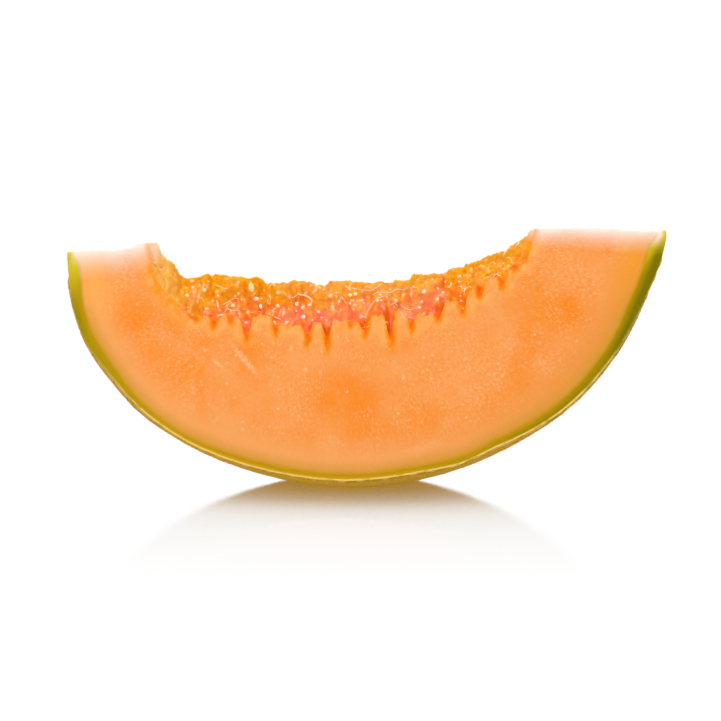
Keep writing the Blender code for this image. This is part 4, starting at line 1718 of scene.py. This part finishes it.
@dataclass
class PulpBeads:
    """Small wet beads of pulp in the seed hollow: those in the picture, and smaller ones.

    Each one in the picture has its place, half width and half height, in pixels.
    """

    bed: PulpBed
    in_picture: tuple[tuple[float, float, float, float], ...] = (
        (251, 288, 3.2, 6.6), (256, 299, 3.2, 2.2), (192, 281, 3.0, 1.8), (193, 288, 2.2, 2.2),
        (204.5, 290, 2.4, 2.6), (187, 296, 2.3, 2.6), (217, 292, 2.0, 2.2), (218, 296, 1.8, 1.6),
        (227, 306, 1.5, 1.5), (233, 306, 2.6, 2.2), (248, 313, 2.0, 1.8), (246, 323, 2.0, 1.6),
        (238.5, 294, 1.8, 1.8), (278.5, 293, 2.6, 2.4), (278, 306, 2.3, 2.4), (274, 323, 2.5, 2.5),
        (287, 323, 2.8, 2.2), (310, 305, 2.4, 1.8), (303, 308, 2.4, 2.0), (297, 304, 2.3, 2.3),
        (303, 317, 2.6, 2.4), (318, 312, 2.2, 2.2), (321.5, 318, 1.4, 1.4), (331, 296, 2.8, 2.4),
        (332.5, 307.5, 2.6, 2.6), (339, 302, 1.9, 1.9), (350, 295, 2.3, 1.9), (355.5, 294, 2.3, 2.0),
        (362, 300.5, 2.2, 1.8), (367.5, 297.5, 1.3, 1.1), (350, 304, 1.8, 1.8), (355, 305.5, 2.0, 2.0),
        (353.5, 309.5, 1.5, 1.5), (361, 317, 1.8, 2.4), (396, 301, 2.2, 2.2), (378, 301, 2.0, 2.4),
        (412, 295, 2.8, 2.2), (424.5, 292, 2.8, 2.5), (426.5, 282.5, 2.0, 2.0), (437.5, 299.5, 2.3, 2.2),
        (443, 293, 2.2, 2.2), (445.5, 282, 1.4, 1.5), (451, 284.5, 1.1, 1.4), (459.5, 276.5, 2.5, 1.7),
        (471, 269.5, 1.5, 1.9), (483, 267, 1.3, 1.5), (419, 307.5, 2.2, 2.0), (459, 282, 1.8, 1.4),
        (422, 302, 1.5, 1.8), (155, 263, 1.3, 1.3), (207, 309, 2.0, 1.6), (461, 301, 1.6, 1.6),
    )
    pixel: float = 0.284 * MM
    thickness: float = 0.75
    slimness: float = 0.88
    seed: int = 23
    count: int = 54
    reach: tuple[float, float] = (-51.0 * MM, 42.0 * MM)
    sizes: tuple[float, float] = (0.14 * MM, 0.34 * MM)
    band: tuple[float, float] = (0.06, 0.94)
    stretch: Triple = (1.08, 1.0, 0.94)
    pinch: float = 0.16
    unevenness: float = 0.3
    lift: float = 0.2
    lifts: tuple[float, float] = (0.0, 0.4)

    def make(self) -> bpy.types.Object:
        """Models one bead and lays uneven copies of it on the pulp."""
        draw = random.Random(self.seed)
        bead = self.one_bead()
        corners = np.array([vertex.co for vertex in bead.data.vertices])
        shape = sorted(self.from_least(tuple(face.vertices)) for face in bead.data.polygons)
        bpy.data.objects.remove(bead)
        laid = [self.seen(corners, place, draw) for place in self.in_picture]
        laid += [self.scattered(corners, draw) for _ in range(self.count)]
        firsts = [number * len(corners) for number in range(len(laid))]
        faces = [tuple(corner + first for corner in face) for first in firsts for face in shape]
        return smooth_object("pulp_beads", np.concatenate(laid).tolist(), faces)

    def from_least(self, numbers: tuple[int, ...]) -> tuple[int, ...]:
        """A face's corners from its lowest number on, so that each run lists them alike."""
        first = numbers.index(min(numbers))
        return numbers[first:] + numbers[:first]

    def one_bead(self) -> bpy.types.Object:
        """One bead of size 1: a ball pinched a little at one end."""
        bpy.ops.object.select_all(action="DESELECT")
        bpy.ops.mesh.primitive_uv_sphere_add(segments=9, ring_count=6, radius=1.0)
        bead = bpy.context.object
        bpy.ops.object.mode_set(mode="EDIT")
        bpy.ops.transform.resize(value=self.stretch)
        bpy.ops.object.mode_set(mode="OBJECT")
        for vertex in bead.data.vertices:
            vertex.co.y *= 1 - self.pinch * vertex.co.x
        return bead

    def uneven(self, corners: np.ndarray, draw: random.Random) -> np.ndarray:
        """The bead's corners, turned at random and made a little lumpy."""
        angle = draw.uniform(0, math.tau)
        turn = np.array(Matrix.Rotation(angle, 3, (draw.random(), draw.random(), 1.0)))
        turned = corners @ turn.T
        return turned * (1 + self.unevenness * noise_at(turned, 1.0, draw.uniform(0, 50)))[:, None]

    def seen(
        self,
        corners: np.ndarray,
        place: tuple[float, float, float, float],
        draw: random.Random,
    ) -> np.ndarray:
        """One bead's corners where the picture shows it, facing the camera."""
        across, down, half_width, half_height = place
        middle, normal = self.bed.seen_at(across, down)
        half_depth = min(half_width, half_height) * self.thickness
        size = np.array((half_width, half_height, half_depth)) * self.pixel * self.slimness
        turn = np.array(self.bed.camera.turn)
        bead = (self.uneven(corners, draw) * size) @ turn.T
        return bead + np.array(middle + normal * size[2] * self.lift)

    def scattered(self, corners: np.ndarray, draw: random.Random) -> np.ndarray:
        """One small bead's corners, somewhere on the pulp."""
        size = draw.uniform(*self.sizes)
        middle, normal = self.bed.on_pulp(draw.uniform(*self.reach), draw.uniform(*self.band))
        bead = self.uneven(corners, draw) * size
        return bead + np.array(middle + normal * size * draw.uniform(*self.lifts))


@dataclass(frozen=True)
class SoftBox:
    """One light: where it hangs, how large and how strong it is, and if it is only mirrored."""

    name: str
    place: Triple
    width: float
    height: float
    power: float
    mirrored: bool = False


@dataclass(frozen=True)
class Studio:
    """Glossy white floor, white surroundings and large soft lights."""

    aim: Triple = (0.0, 0.0, 35.0 * MM)
    floor_size: float = 12.0
    floor_light: float = 0.75
    surroundings: float = 0.5
    mirrored_above: float = 0.12
    shine_reach: float = 125.0 * MM
    shine: Pairs = (
        (0.0, 1.0), (9.5, 0.98), (17.0, 0.93), (23.3, 0.85), (28.6, 0.765), (33.5, 0.63), (39.2, 0.46),
        (45.0, 0.32), (52.0, 0.225), (60.0, 0.16), (73.0, 0.1), (95.0, 0.05), (125.0, 0.0),
    )
    shine_sideways: float = 0.56
    lights: tuple[SoftBox, ...] = (
        SoftBox("overhead", (-0.10, -0.15, 0.9), 0.8, 0.6, 4.2),
        SoftBox("front", (-0.35, -1.0, 0.55), 0.7, 0.5, 3.15),
        SoftBox("behind", (0.25, 0.75, 0.6), 0.7, 0.4, 3.2),
        SoftBox("left glint", (-0.30, -0.15, 0.95), 0.14, 0.14, 12.0, True),
        SoftBox("right glint", (0.32, 0.05, 0.95), 0.14, 0.14, 12.0, True),
        SoftBox("back glint", (-0.05, 0.50, 0.80), 0.14, 0.14, 12.0, True),
        SoftBox("front glint", (-0.75, -0.70, 0.60), 0.14, 0.14, 12.0, True),
    )

    def make(self) -> None:
        """Builds the floor, the surroundings and the lights."""
        self.make_floor()
        self.make_surroundings()
        for light in self.lights:
            self.hang(light)

    def make_floor(self) -> None:
        """Lays a flat floor just under the wedge."""
        bpy.ops.object.select_all(action="DESELECT")
        bpy.ops.mesh.primitive_grid_add(x_subdivisions=8, y_subdivisions=8, size=self.floor_size)
        floor = bpy.context.object
        floor.name = "studio_floor"
        material = bpy.data.materials.new("glossy white floor")
        material.use_nodes = True
        sheet = NodeSheet(material.node_tree)
        material.node_tree.nodes.remove(material.node_tree.nodes["Principled BSDF"])
        glow = sheet.add("ShaderNodeEmission", {"Color": WHITE, "Strength": 1.0}).outputs[0]
        bounce = sheet.add("ShaderNodeEmission", {"Color": WHITE, "Strength": self.floor_light}).outputs[0]
        white = sheet.add("ShaderNodeBsdfDiffuse", {"Color": (0.9, 0.9, 0.9, 1.0)}).outputs[0]
        plain = sheet.add("ShaderNodeMixShader", {0: 0.4, 1: bounce, 2: white}).outputs[0]
        inputs = {"Color": WHITE, "Roughness": 0.1}
        gloss = sheet.add("ShaderNodeBsdfGlossy", inputs, distribution="BECKMANN").outputs[0]
        flat = sheet.stretched((self.shine_sideways, 1.0, 1.0))
        away = sheet.add("ShaderNodeVectorMath", {0: flat}, operation="LENGTH").outputs["Value"]
        stops = tuple((place * MM, (share, share, share, 1.0)) for place, share in self.shine)
        shine = sheet.bands(away, self.shine_reach, stops, False)
        seen = sheet.add("ShaderNodeMixShader", {0: shine, 1: glow, 2: gloss}).outputs[0]
        camera_ray = sheet.add("ShaderNodeLightPath").outputs["Is Camera Ray"]
        whole = sheet.add("ShaderNodeMixShader", {0: camera_ray, 1: plain, 2: seen}).outputs[0]
        sheet.feed(material.node_tree.nodes["Material Output"], {"Surface": whole})
        floor.data.materials.append(material)

    def make_surroundings(self) -> None:
        """White all round: full white where it is seen, softer as light."""
        world = bpy.data.worlds.new("white surroundings")
        world.use_nodes = True
        bpy.context.scene.world = world
        sheet = NodeSheet(world.node_tree)
        path = sheet.add("ShaderNodeLightPath").outputs
        direction = sheet.add("ShaderNodeTexCoord").outputs["Generated"]
        low = sheet.share(sheet.axis(direction, "Z"), 0.42, 0.32)
        behind = sheet.times(low, sheet.share(sheet.axis(direction, "Y"), 0.6, 0.75))
        mirrored = sheet.share(behind, 0.0, 1.0, self.mirrored_above, 1.0)
        inputs = {0: path["Is Glossy Ray"], 2: self.surroundings, 3: mirrored}
        strength = sheet.add("ShaderNodeMix", inputs).outputs[0]
        strength = sheet.add("ShaderNodeMix", {0: path["Is Camera Ray"], 2: strength, 3: 1.0}).outputs[0]
        sheet.feed(world.node_tree.nodes["Background"], {"Color": WHITE, "Strength": strength})

    def hang(self, light: SoftBox) -> None:
        """Hangs one soft light and turns it to the wedge."""
        data = bpy.data.lights.new(light.name, "AREA")
        data.shape = "RECTANGLE"
        data.size = light.width
        data.size_y = light.height
        data.energy = light.power
        lamp = put_in_scene(light.name, data)
        lamp.visible_glossy = light.mirrored
        lamp.visible_diffuse = not light.mirrored
        lamp.location = light.place
        lamp.rotation_euler = (Vector(self.aim) - Vector(light.place)).to_track_quat("-Z", "Y").to_euler()


def main() -> None:
    """Builds the wedge, its finishes and the studio, in that order."""
    logging.basicConfig(level=logging.INFO, format="%(name)s: %(message)s")
    wedge = MelonWedge(Fruit(), Stance()).build()
    for finish in (FleshFinish(), PulpFinish(), RindFinish()):
        wedge.data.materials.append(finish.make())
    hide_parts(NODE)
    bed = PulpBed(wedge, Stance(), (MelonWedge.near_cut, MelonWedge.far_cut), Camera())
    threads = PulpThreads(bed).make()
    beads = PulpBeads(bed).make()
    shreds = ThreadFinish().make()
    for piece in (threads, beads):
        piece.data.materials.append(shreds)
    for piece in (wedge, threads, beads):
        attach(piece, BODY)
        log.info("%s: %d faces", piece.name, len(piece.data.polygons))
    Studio().make()
    Camera().make()
    bpy.context.scene.view_settings.view_transform = "Standard"


if __name__ == "__main__":
    main()
